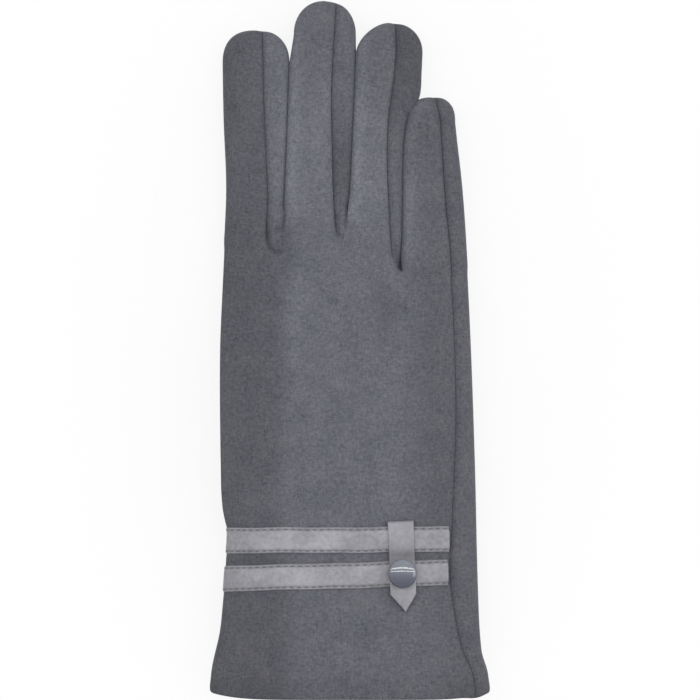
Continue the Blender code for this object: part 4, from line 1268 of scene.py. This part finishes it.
def bend_start(finger):
    """Y from which a finger bends: the furthest place of its root line."""
    edges = finger.root_centre + finger.root_half * np.linspace(-1, 1, ROOT_SAMPLES)
    return float(np.max(root_y(edges)))


def bend(made, finger):
    """Bake the piece's transform into its mesh; where the finger's bend starts is worked out but not used.
    """
    first = bend_start(finger)
    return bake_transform(made)


print("bends start at Y:", {f.name: round(bend_start(f) / MM, 1) for f in fingers.values()})

# %% Painted shade of the fingers
# Painted shade of each piece near the root and near the tip
PIECE_PAINTED_SHADE = {
    "index": {"back": (0.79, 0.78), "palm": (0.85, 0.85), "fourchette": (1.06, 1.02)},
    "middle": {"back": (1.11, 0.94), "fourchette_left": (0.95, 0.95), "palm": (0.9, 0.9),
               "fourchette_right": (0.73, 0.92)},
    "ring": {"back": (1.13, 0.93), "fourchette_left": (0.95, 0.95), "palm": (0.9, 0.9),
             "fourchette_right": (0.94, 0.67)},
    "little": {"back": (0.98, 0.79), "fourchette": (0.95, 0.95), "palm": (0.83, 0.81)},
}
OWN_SHADE_START = 20 * MM
SHADE_MERGING = 22 * MM
EDGE_LIGHT = 0.22
EDGE_LIGHT_PLACE = 2.0 * MM
EDGE_LIGHT_WIDTH = 2.4 * MM
EDGE_LIGHT_START = 4 * MM


def finger_painted_shade(finger, ending, x, y):
    """Painted shade: the hand's at the root, the piece's own further on, and painted light along the left
    edge.
    """
    low, high = PIECE_PAINTED_SHADE[finger.name][ending]
    own = low + (high - low) * ease(y, finger.root + OWN_SHADE_START, finger.shoulder)
    base = hand_painted_shade(x, y)
    shade = base + (own - base) * ease(y, finger.root, finger.root + SHADE_MERGING)
    if finger.name == "index":
        return shade
    fork = finger.forks[1]
    from_edge = x - follow(finger.left, y) - EDGE_LIGHT_PLACE
    raised = hump(from_edge, EDGE_LIGHT_WIDTH) * ease(y, fork, fork + EDGE_LIGHT_START)
    return shade * (1 + EDGE_LIGHT * raised)


print("pieces with a nap of their own:", sum(len(pieces) for pieces in PIECE_PAINTED_SHADE.values()))

# %% Finger cloth
RUN_ROWS, CAP_ROWS = 110, 34
ROOT_OPENING = 5 * MM
FULL_ROLL_WIDTH = 7 * MM
LEAST_WIDTH = 0.01 * MM
FINGER_PLUMP = 0.28 * MM
PLUMP_POWER = 0.7


def finger_piece(finger, ending, start, end, columns):
    runs = finger_runs(RUN_ROWS, CAP_ROWS)
    angle, run, square, first, last = finger_grid(finger, start, end, columns, runs)
    width = (first + last)[:, :1]
    from_root = (finger.shoulder - finger.root) * np.minimum(run, 1.0)
    opened = ease(from_root, 0.0, ROOT_OPENING)
    size = np.clip(width / FULL_ROLL_WIDTH, 0.0, 1.0)
    # A seam that runs on from the hand is rolled in at the root already, the others a little further on
    from_hand = (back_seam, back_seam_again) if finger.name == "little" else (index_side,)
    begins, ends = (np.ones_like(opened) if seam in from_hand else opened for seam in (start, end))
    roll = size * (begins * seam_roll(first) + ends * seam_roll(last))
    share = np.clip(first / np.maximum(width, LEAST_WIDTH), 0, 1)
    outside = roll - FINGER_PLUMP * size * opened * np.sin(math.pi * share) ** PLUMP_POWER
    outer = finger.point(angle, run, square, outside)
    inner = finger.point(angle, run, square, np.maximum(outside + EDGE_LIP, CLOTH))
    x, y = outer[..., 0], outer[..., 1]
    painted_shade = finger_painted_shade(finger, ending, x, y) * light_and_shade_patches(x, y)
    painted_shade = painted_shade * (1 - begins * (1 - seam_shade(first))) * (1 - ends * (1 - seam_shade(last)))
    name = finger.name + "_" + ending
    made = sewn_sheet(name + "_cloth", cloth_look, outer, inner, painted_shade)
    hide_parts(name)
    return bend(made, finger)


print("rows along a finger:", RUN_ROWS + CAP_ROWS)

# %% Linings, and whole fingers
FLEECE_COLUMNS = 64
FLEECE_RUN_ROWS, FLEECE_CAP_ROWS = 50, 16


def finger_fleece(finger):
    runs = finger_runs(FLEECE_RUN_ROWS, FLEECE_CAP_ROWS)
    angle, run, square, _, _ = finger_grid(finger, back_seam, back_seam_again, FLEECE_COLUMNS, runs)
    outer = finger.point(angle, run, square, LINING_DEPTH)
    inner = finger.point(angle, run, square, LINING_DEPTH + LINING)
    name = finger.name + "_fleece"
    made = sewn_sheet(name, fleece_look, outer, inner, round_shut=True)
    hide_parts(finger.name + "_lining")
    return bend(made, finger)


for finger in fingers.values():
    made = [finger_piece(finger, *strip) for strip in STRIPS[finger.name]]
    made.append(finger_fleece(finger))
    print(finger.name, "finger:", sum(len(piece.data.polygons) for piece in made), "faces")

# %% [markdown]
# ## Thumb
#
# The thumb is a round-tipped stall folded flat under the palm, so it shows only from below. One seam
# runs up each side. It hinges at the fold beside the forefinger edge. There a gusset, a narrow web
# of cloth, is sewn to the hand at one edge and to the thumb at the other.

# %% Thumb shape
THUMB_TIP_THICKNESS = 8.6 * MM
THUMB_TIP_CAP = 9 * MM
THUMB_SQUARENESS = (2.6, 2.6)
THUMB_SIDE = (math.cos(THUMB_TURN), -math.sin(THUMB_TURN))
THUMB_CORNER = 0.8
THUMB_CORNER_START = 0.35


def thumb_point(angle, run, depth):
    """run is -1 at the base edge, 0 and 1 at the ends of the straight run and 2 at the tip."""
    across, up = outline(angle, THUMB_SQUARENESS)
    straight = np.clip(run, 0.0, 1.0)
    half = (THUMB_WIDTH + (THUMB_TIP_WIDTH - THUMB_WIDTH) * ease(straight, 0.0, 1.0)) / 2 - depth
    blunted = across - THUMB_CORNER * np.maximum(across - THUMB_CORNER_START, 0.0) ** 2
    start = -half * blunted * THUMB_SIDE[0] / THUMB_AHEAD[0]
    end = THUMB_LENGTH - THUMB_TIP_CAP
    reach = start + (end - start) * straight
    whole = THUMB_THICKNESS + (THUMB_TIP_THICKNESS - THUMB_THICKNESS) * straight
    tip_turn = np.clip(run - 1, 0.0, 1.0) * math.pi / 2
    base_turn = np.clip(-run, 0.0, 1.0) * math.pi / 2
    narrow = np.maximum(np.cos(tip_turn), 0.0)
    thick = (whole / 2 - depth) * narrow * np.maximum(np.cos(base_turn), 0.0)
    reach = reach + (THUMB_TIP_CAP - depth) * np.sin(tip_turn)
    reach = reach - (THUMB_BASE_CAP - depth) * np.sin(base_turn) / THUMB_AHEAD[0]
    x = THUMB_ROOT.x + THUMB_AHEAD[0] * reach + THUMB_SIDE[0] * half * across * narrow
    y = THUMB_ROOT.y + THUMB_AHEAD[1] * reach + THUMB_SIDE[1] * half * across * narrow
    return np.stack((x, y, whole / 2 + thick * up), axis=-1)


def thumb_grid(columns, straight, cap):
    runs = np.concatenate((np.linspace(-1, 0, cap + 1)[:-1], np.linspace(0, 1, straight + 1),
                           np.linspace(1, 2, cap + 1)[1:]))
    shares = np.linspace(0.0, 1.0, columns + 1)
    angle, _ = walk(0.0, FULL_TURN, shares, THUMB_SQUARENESS, THUMB_THICKNESS / THUMB_WIDTH)
    return np.repeat(angle[None, :], len(runs), axis=0), np.repeat(runs[:, None], columns + 1, axis=1)


print("thumb tip:", [round(float(place) / MM, 1) for place in thumb_point(math.pi / 2, 2.0, 0.0)], "mm")

# %% Thumb cloth and fleece
THUMB_SEAMS = (math.radians(-25), math.radians(205))
THUMB_SEAM_ROLL = 0.7 * MM
# Factor by which the whole thumb cloth is painted darker
THUMB_DARKENING = 0.92
THUMB_GRID = (120, 70, 22)
THUMB_FLEECE_GRID = (48, 30, 10)


def thumb_sheet(name, look, slot, angle, run, depths, painted_shade=1.0):
    outer, inner = (thumb_point(angle, run, depth) for depth in depths)
    return sewn_sheet(name, look, outer, inner, painted_shade, round_shut=True)


angle, run = thumb_grid(*THUMB_GRID)
roll = 0.0
for seam in THUMB_SEAMS:
    away = np.abs((angle - seam + math.pi) % FULL_TURN - math.pi) * THUMB_WIDTH / 3
    roll = roll + seam_roll(away, THUMB_SEAM_ROLL)
# Both seams fade out in the rounding of the base and of the tip
rounding = np.clip(np.abs(run - 0.5) - 0.5, 0, 1)
roll = roll * np.clip(np.cos(rounding * math.pi / 2) * 2, 0, 1)
thumb_cloth = thumb_sheet("thumb_cloth", cloth_look, "outer_fabric", angle, run,
                          (roll, np.maximum(roll + EDGE_LIP, CLOTH)), THUMB_DARKENING)
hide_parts("thumb_stall")
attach(thumb_cloth, "thumb")

thumb_fleece = thumb_sheet("thumb_fleece", fleece_look, "lining_fabric", *thumb_grid(*THUMB_FLEECE_GRID),
                           (LINING_DEPTH, LINING_DEPTH + LINING))
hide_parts("thumb_lining")
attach(thumb_fleece, "thumb")
print("thumb faces:", len(thumb_cloth.data.polygons) + len(thumb_fleece.data.polygons))

# %% Thumb gusset
# Section of the web from the hand's edge to the thumb, as points (X, Z)
GUSSET_PATH = ((-41.6, 12.2), (-43.0, 11.4), (-43.7, 9.8), (-43.2, 7.6), (-41.4, 4.6), (-40.3, 2.2),
               (-39.2, 1.6))
GUSSET_ENDS = (-49 * MM, 1 * MM)
GUSSET_CLOTH = 0.5 * MM
# Factor by which the whole gusset is painted darker
GUSSET_DARKENING = 0.85
GUSSET_ROWS, GUSSET_COLUMNS = 90, 36


def thumb_gusset():
    """Web from the hand's edge, in past the hinge, to the thumb's base; it narrows to both ends."""
    across, up = np.array(GUSSET_PATH).T
    length = np.concatenate(([0.0], np.cumsum(np.hypot(np.diff(across), np.diff(up)))))
    t = np.linspace(-1.0, 1.0, GUSSET_ROWS + 1)[:, None]
    kept = np.sqrt(1 - t ** 4)
    place = kept * np.linspace(0.0, length[-1], GUSSET_COLUMNS + 1) * MM
    x, z = (follow(np.stack((length, values), axis=1), place) for values in (across, up))
    ahead_x, ahead_z = np.gradient(x, axis=1), np.gradient(z, axis=1)
    step = np.maximum(np.hypot(ahead_x, ahead_z), MERGE)
    y = sum(GUSSET_ENDS) / 2 + (GUSSET_ENDS[1] - GUSSET_ENDS[0]) / 2 * t + 0 * x
    base = np.clip(np.abs(y - THUMB_ROOT.y) / (THUMB_WIDTH / 2 / THUMB_AHEAD[0]), 0.0, 1.0)
    full = (1 - base ** THUMB_SQUARENESS[0]) ** (1 / THUMB_SQUARENESS[0])
    level = np.maximum(z, THUMB_ROOT.z) - np.maximum(THUMB_ROOT.z - z, 0.0) * full
    outer = np.stack((x, y, level), axis=-1)
    inward = np.stack((-ahead_z / step * kept, 0 * y, ahead_x / step * kept), axis=-1)
    inner = outer + GUSSET_CLOTH * inward
    made = sewn_sheet("thumb_gusset_cloth", cloth_look, outer, inner, GUSSET_DARKENING)
    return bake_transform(made)


gusset = thumb_gusset()
print("gusset faces:", len(gusset.data.polygons))

# %% [markdown]
# ## Touch patches
#
# A patch of conductive knit on the forefinger and the thumb works a touchscreen. Each is an oval laid
# on the fingertip: a square grid is pulled into a rounded shape, and its rim is thinned so that it
# looks bonded to the cloth.

# %% Touch patches
PATCH = 0.45 * MM
PATCH_LIFT = 0.32 * MM
PATCH_CELLS = 28
PATCH_SPREAD = math.radians(66)
PATCH_CORNER = 0.42
PATCH_RIM = 0.2
PATCH_RIM_THINNED = 0.9


def patch(name, node, point, middle_angle, run_from, run_to):
    """Oval sheet on a surface, round an angle and between two runs."""
    t = np.linspace(-1, 1, PATCH_CELLS + 1)
    column, row = np.meshgrid(t, t)
    across = column * np.sqrt(1 - row * row * PATCH_CORNER)
    along = row * np.sqrt(1 - column * column * PATCH_CORNER)
    angle = middle_angle + PATCH_SPREAD / 2 * across
    run = (run_from + run_to) / 2 + (run_to - run_from) / 2 * along
    edge = np.maximum(np.abs(column), np.abs(row))
    rim = np.clip((edge - (1 - PATCH_RIM)) / PATCH_RIM, 0, 1)
    lift = PATCH * np.sqrt(1 - rim ** 2 * PATCH_RIM_THINNED)
    outer, inner = point(angle, run, -PATCH_LIFT - lift), point(angle, run, -PATCH_LIFT + 0 * lift)
    made = sewn_sheet(name, patch_look, outer, inner)
    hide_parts(node)
    return made


def index_point(angle, run, depth):
    return fingers["index"].point(angle, run, fingers["index"].sides, depth)


index_patch = patch("index_touch_patch", "index_touch_pad", index_point,
                    middle_angle=math.radians(272), run_from=0.80, run_to=1.45)
bend(index_patch, fingers["index"])
thumb_patch = patch("thumb_touch_patch", "thumb_touch_pad", thumb_point,
                    middle_angle=math.radians(90), run_from=0.72, run_to=1.30)
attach(thumb_patch, "thumb")
print("patch faces:", len(index_patch.data.polygons) + len(thumb_patch.data.polygons))

# %% [markdown]
# ## Trim bands and their stitches
#
# Each band is a leather strip from the long seam round the forefinger edge. It is plump between its
# two rows of stitches, pressed in along the thread, and ends in a narrow rolled bead at both edges.
# The stitches are short rounded dashes that lie in the pressed line.

# %% Shape of a band
BAND_THICKNESS = 1.1 * MM
BAND_PUFF = 0.42 * MM
BAND_BEAD = 0.42 * MM
STITCH_INSET = 0.84 * MM
STITCH_GROOVE = 0.34 * MM
STITCH_GROOVE_WIDTH = 0.33 * MM
BEAD_LOWERED = 0.92
SEAM_SPARE = 1.6 * MM
DRAWN_THIN = 0.72
DRAWN_REACH = (30 * MM, 42.5 * MM)
# Height and length in millimetres, and shift, of the waves in a band's middle line
WAVERS = ((0.10, 7, 0), (0.06, 2.9, 1))


def from_stitches(offset):
    """Distance to the nearer row of stitches, at an offset from a band's middle line."""
    return np.abs(offset) - (BAND_WIDTH / 2 - STITCH_INSET)


def band_profile(offset):
    """Height of a band above the cloth, at an offset from its middle line."""
    half = BAND_WIDTH / 2
    body = BAND_THICKNESS + BAND_PUFF * (1 - np.clip(np.abs(offset) / half, 0, 1) ** 4)
    rim = np.clip((np.abs(offset) - (half - BAND_BEAD)) / BAND_BEAD, 0, 1)
    rolled = body * np.sqrt(np.maximum(1 - BEAD_LOWERED * rim * rim, 0))
    return rolled - STITCH_GROOVE * hump(from_stitches(offset), STITCH_GROOVE_WIDTH)


def band_grid(band, columns):
    """Angles along a band from the right seam to the left one, and their X and running length."""
    level = HEM_Y + band[0]
    shares = np.linspace(0, 1, columns + 1)
    start, end = right_seam(level, SEAM_SPARE), left_seam(level)
    angle, _ = walk(start, end, shares, HAND_SQUARENESS, HAND_ASPECT)
    place = hand_point(angle, level + 0 * angle, 0 * angle)
    steps = np.linalg.norm(np.diff(place, axis=0), axis=1)
    return angle, place[:, 0], np.concatenate(([0.0], np.cumsum(steps)))


def waver(length):
    """A sewn band never runs quite straight."""
    return sum(rise * MM * np.sin(length / (wave * MM) + shift) for rise, wave, shift in WAVERS)


def snug(x):
    """A band is drawn thin where it turns round the forefinger edge."""
    return 1 - DRAWN_THIN * ease(-x, *DRAWN_REACH)


print("band height at its middle:", round(float(band_profile(0.0)) / MM, 2), "mm")

# %% Bands
BAND_ROWS, BAND_COLUMNS = 40, 170
BAND_CLEARANCE = 0.03 * MM
STITCH_PITCH = 2.42 * MM
STITCH_PULL = 0.10 * MM
STITCH_PULL_WIDTH = 0.6 * MM
STITCH_SHADE = 0.26
STITCH_SHADE_WIDTH = 0.42 * MM
PULL_SHARPNESS = 8
BAND_END = 0.7 * MM
BAND_END_HEIGHT = 0.55


def band_shade(x):
    """Painted light and shade: the bands are lighter left of the middle and darker towards both ends and at
    the right.
    """
    painted_darkening = 0.07 * ease(np.abs(x), 30 * MM, 44 * MM) + 0.06 * ease(x, 16 * MM, 30 * MM)
    return 1.0 + 0.06 * hump(x + 14 * MM, 16 * MM) - painted_darkening


def trim_band(name, node, band):
    angle, x, length = band_grid(band, BAND_COLUMNS)
    t = np.linspace(-1, 1, BAND_ROWS + 1)
    offset = (BAND_WIDTH / 2 * (0.5 * t + 0.5 * np.sin(t * math.pi / 2)))[:, None]
    turns = np.repeat(angle[None, :], BAND_ROWS + 1, axis=0)
    y = (band_middle(x, band) + waver(length))[None, :] + offset
    pull = np.cos(length / STITCH_PITCH * math.pi)[None, :] ** PULL_SHARPNESS
    rise = band_profile(offset) - STITCH_PULL * hump(from_stitches(offset), STITCH_PULL_WIDTH) * pull
    ends = np.minimum(length, length[-1] - length)[None, :]
    full = BAND_END_HEIGHT + (1 - BAND_END_HEIGHT) * np.sqrt(np.clip(ends / BAND_END, 0, 1))
    rise = rise * full * snug(x)[None, :]
    outer, inner = hand_point(turns, y, -rise), hand_point(turns, y, -BAND_CLEARANCE + 0 * rise)
    # Painted shade along the pressed line of the stitches
    stitch_groove_shade = hump(from_stitches(offset), STITCH_SHADE_WIDTH)
    shade = band_shade(outer[..., 0]) * (1 - STITCH_SHADE * stitch_groove_shade)
    made = sewn_sheet(name, band_look, outer, inner, shade)
    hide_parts(node)
    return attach(made, "hand")


bands = {"upper": UPPER_BAND, "lower": LOWER_BAND}
for name, band in bands.items():
    made = trim_band(name + "_trim", name + "_band", band)
    print(name, "band faces:", len(made.data.polygons))

# %% Stitches
STITCH_LENGTH = 1.5 * MM
STITCH_WIDTH = 0.5 * MM
STITCH_THICKNESS = 0.34 * MM
STITCH_LIFT = 0.06 * MM
STITCH_START = 0.4 * MM
STITCH_MARGIN = 1.5 * MM
STITCH_PATH_STEPS = 600


def stitch_row(name, node, band, side):
    """Row of thread dashes along one edge of a band."""
    angle, x, length = band_grid(band, STITCH_PATH_STEPS)
    offset = side * (BAND_WIDTH / 2 - STITCH_INSET)
    rise = float(band_profile(np.array(offset))) + STITCH_LIFT
    path = hand_point(angle, band_middle(x, band) + waver(length) + offset, -rise * snug(x))
    count = int((length[-1] - STITCH_MARGIN) / STITCH_PITCH)
    size = Matrix.Diagonal((STITCH_LENGTH / 2, STITCH_WIDTH / 2, STITCH_THICKNESS / 2, 1.0))
    bm = bmesh.new()
    for k in range(count):
        middle = STITCH_PITCH * (k + 0.5) + STITCH_START
        here, ahead, behind = (
            Vector([np.interp(middle + step, length, path[:, axis]) for axis in range(3)])
            for step in (0.0, STITCH_LENGTH / 2, -STITCH_LENGTH / 2)
        )
        turn = (ahead - behind).normalized().to_track_quat("X", "Z").to_matrix().to_4x4()
        place = Matrix.Translation(here) @ turn @ size
        bmesh.ops.create_icosphere(bm, subdivisions=2, radius=1.0, matrix=place)
    made = finish_piece(name, bm, thread_look)
    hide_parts(node)
    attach(made, "hand")
    return count


for name, band in bands.items():
    for side, edge in ((1, "top"), (-1, "bottom")):
        count = stitch_row(name + "_stitches_" + edge, name + "_band_stitch_" + edge, band, side)
        print(name, edge, "row:", count, "stitches")

# %% [markdown]
# ## Tab
#
# The tab is a pointed leather strap. Its top end folds down over the upper band, it sags a little
# between the bands, passes under the button and droops at its point. A grid is shaped along that
# path, and its cut edges are rounded by lowering the rim.

# %% Path of the tab
TAB_UNDER = 20.02 * MM
TAB_ABOVE_BUTTON = 17.9 * MM
TAB_BELOW_BUTTON = 7.2 * MM
TAB_POINT = 6.0 * MM
TAB_LENGTH = TAB_ABOVE_BUTTON + TAB_BELOW_BUTTON + TAB_POINT
BETWEEN_BANDS = 5.9 * MM
BETWEEN_WIDTH = 1.7 * MM
TAB_SAG = 0.45 * MM
TAB_DROOP = 0.55 * MM
TAB_DROOP_REACH = (4.6 * MM, 14 * MM)
TAB_FOLD_LENGTH = 1.5 * MM
TAB_FOLD_DEPTH = 1.0 * MM


def tab_path(along):
    """Y and Z of the strap's underside from its folded top end (0) to its point (1)."""
    down = along * TAB_LENGTH
    y = TAB_ABOVE_BUTTON - down
    fold = np.clip(1 - down / TAB_FOLD_LENGTH, 0, 1)
    droop = ease(-y, *TAB_DROOP_REACH)
    z = TAB_UNDER - TAB_SAG * hump(y - BETWEEN_BANDS, BETWEEN_WIDTH) - TAB_DROOP * droop
    return y, z - TAB_FOLD_DEPTH * rounded_off(fold)


print("tab length:", round(TAB_LENGTH / MM, 1), "mm")

# %% Tab strap
TAB_WIDTH = 8.9 * MM
TAB_THICKNESS = 0.9 * MM
TAB_POINT_SHIFT = 0.6 * MM
TAB_LEAST_TAPER = 0.02
TAB_RIM = 0.45 * MM
TAB_RIM_LOWERED = 0.45
TAB_EDGE_SAG = 0.12 * MM
TAB_LEAN = math.radians(2.2)
TAB_PAINTED_SHADE = 0.46
TAB_SHADE_PLACE, TAB_SHADE_WIDTH = 5.4 * MM, 3.0 * MM
TAB_ROWS, TAB_COLUMNS = 110, 30


def tab_strap():
    t = np.linspace(-1, 1, TAB_COLUMNS + 1)
    across = (0.4 * t + 0.6 * np.sin(t * math.pi / 2))[None, :]
    along = np.linspace(0, 1, TAB_ROWS + 1)[:, None]
    y, z = tab_path(along)
    taper = 1 - np.clip((-y - TAB_BELOW_BUTTON) / TAB_POINT, 0, 1)
    half = TAB_WIDTH / 2 * np.maximum(taper, TAB_LEAST_TAPER)
    x = half * across + TAB_POINT_SHIFT * (1 - taper)
    edge = half * (1 - np.abs(across))
    from_ends = np.minimum(along, 1 - along) * TAB_LENGTH
    rim = np.clip(1 - np.minimum(edge, from_ends) / TAB_RIM, 0, 1)
    rise = TAB_THICKNESS * (1 - TAB_RIM_LOWERED * rounded_off(rim))
    low = z - TAB_EDGE_SAG * across ** 2
    turn_x, turn_y = math.cos(TAB_LEAN), math.sin(TAB_LEAN)
    spot_x = BUTTON_X + turn_x * x - turn_y * y
    spot_y = BUTTON_Y + turn_y * x + turn_x * y
    outer = np.stack((spot_x, spot_y, low + rise), axis=-1)
    inner = np.stack((spot_x, spot_y, low + 0 * rise), axis=-1)
    # Painted shade where the strap sags between the bands, above the button
    shade = 1 - TAB_PAINTED_SHADE * hump(y - TAB_SHADE_PLACE, TAB_SHADE_WIDTH)
    made = sewn_sheet("tab_strap", tab_look, outer, inner, shade)
    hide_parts("tab")
    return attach(made, "strap")


tab = tab_strap()
print("tab faces:", len(tab.data.polygons))

# %% [markdown]
# ## Button and rivet
#
# The button is a turned cap, so a profile of a few points is spun round its axis: a flat underside, a
# rounded rim and a dome. The rivet that holds it from inside is the CAD's own solid in drawn steel.

# %% Profile of the button
BUTTON_SEAT = 21.0 * MM
BUTTON_TOP = 24.7 * MM
BUTTON_ROUND = 1.2 * MM
BUTTON_SOCKET = 0.5 * MM
BUTTON_CHAMFER = 0.2 * MM
SOCKET_RADIUS = 1.5 * MM
SOCKET_MOUTH = 1.6 * MM
FLAT_RADIUS = BUTTON_RADIUS * 0.90
CHAMFER_RADIUS = BUTTON_RADIUS * 0.97
DOME_SLOPE = math.radians(26)
DOME_STEPS = 24
ROUND_STEPS = 8

dome_edge = BUTTON_RADIUS - BUTTON_ROUND * (1 - math.sin(DOME_SLOPE))
dome_radius = dome_edge / math.sin(DOME_SLOPE)
dome_foot = BUTTON_TOP - dome_radius * (1 - math.cos(DOME_SLOPE))
profile = [(0.0, BUTTON_SEAT + BUTTON_SOCKET), (SOCKET_RADIUS, BUTTON_SEAT + BUTTON_SOCKET),
           (SOCKET_MOUTH, BUTTON_SEAT), (FLAT_RADIUS, BUTTON_SEAT),
           (CHAMFER_RADIUS, BUTTON_SEAT + BUTTON_CHAMFER)]
for turn in np.linspace(math.pi / 2, DOME_SLOPE, ROUND_STEPS + 1)[:-1]:
    profile.append((BUTTON_RADIUS - BUTTON_ROUND * (1 - math.sin(turn)),
                    dome_foot - BUTTON_ROUND * (math.cos(DOME_SLOPE) - math.cos(turn))))
for turn in np.linspace(DOME_SLOPE, 0.0, DOME_STEPS + 1):
    profile.append((dome_radius * math.sin(turn), BUTTON_TOP - dome_radius * (1 - math.cos(turn))))
print("button profile:", len(profile), "points")

# %% Button cap and rivet
SPIN_STEPS = 96

bm = bmesh.new()
verts = [bm.verts.new((radius, 0.0, level)) for radius, level in profile]
edges = [bm.edges.new(pair) for pair in zip(verts, verts[1:])]
bmesh.ops.spin(bm, geom=verts + edges, axis=(0, 0, 1), cent=(0, 0, 0), angle=FULL_TURN,
               steps=SPIN_STEPS, use_merge=True)
bmesh.ops.translate(bm, verts=bm.verts, vec=(BUTTON_X, BUTTON_Y, 0.0))
button = finish_piece("button_dome", bm, button_look)
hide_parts("button_cap")
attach(button, "hand")

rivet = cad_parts["button_rivet"]
rivet.data.materials.clear()
rivet.data.materials.append(steel_look)
print("button faces:", len(button.data.polygons))

# %% [markdown]
# ## Sizes and finish
#
# The imported model's size and the dressed glove's are printed side by side. The
# dressed glove has to keep the imported model's size.

# %% Sizes and finish
visual_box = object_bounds()
boxes = {"cad": [list(corner) for corner in cad_box], "visual": [list(corner) for corner in visual_box]}
for label, (low, high) in boxes.items():
    print(label, "size in mm:", [round((b - a) / MM, 1) for a, b in zip(low, high)])
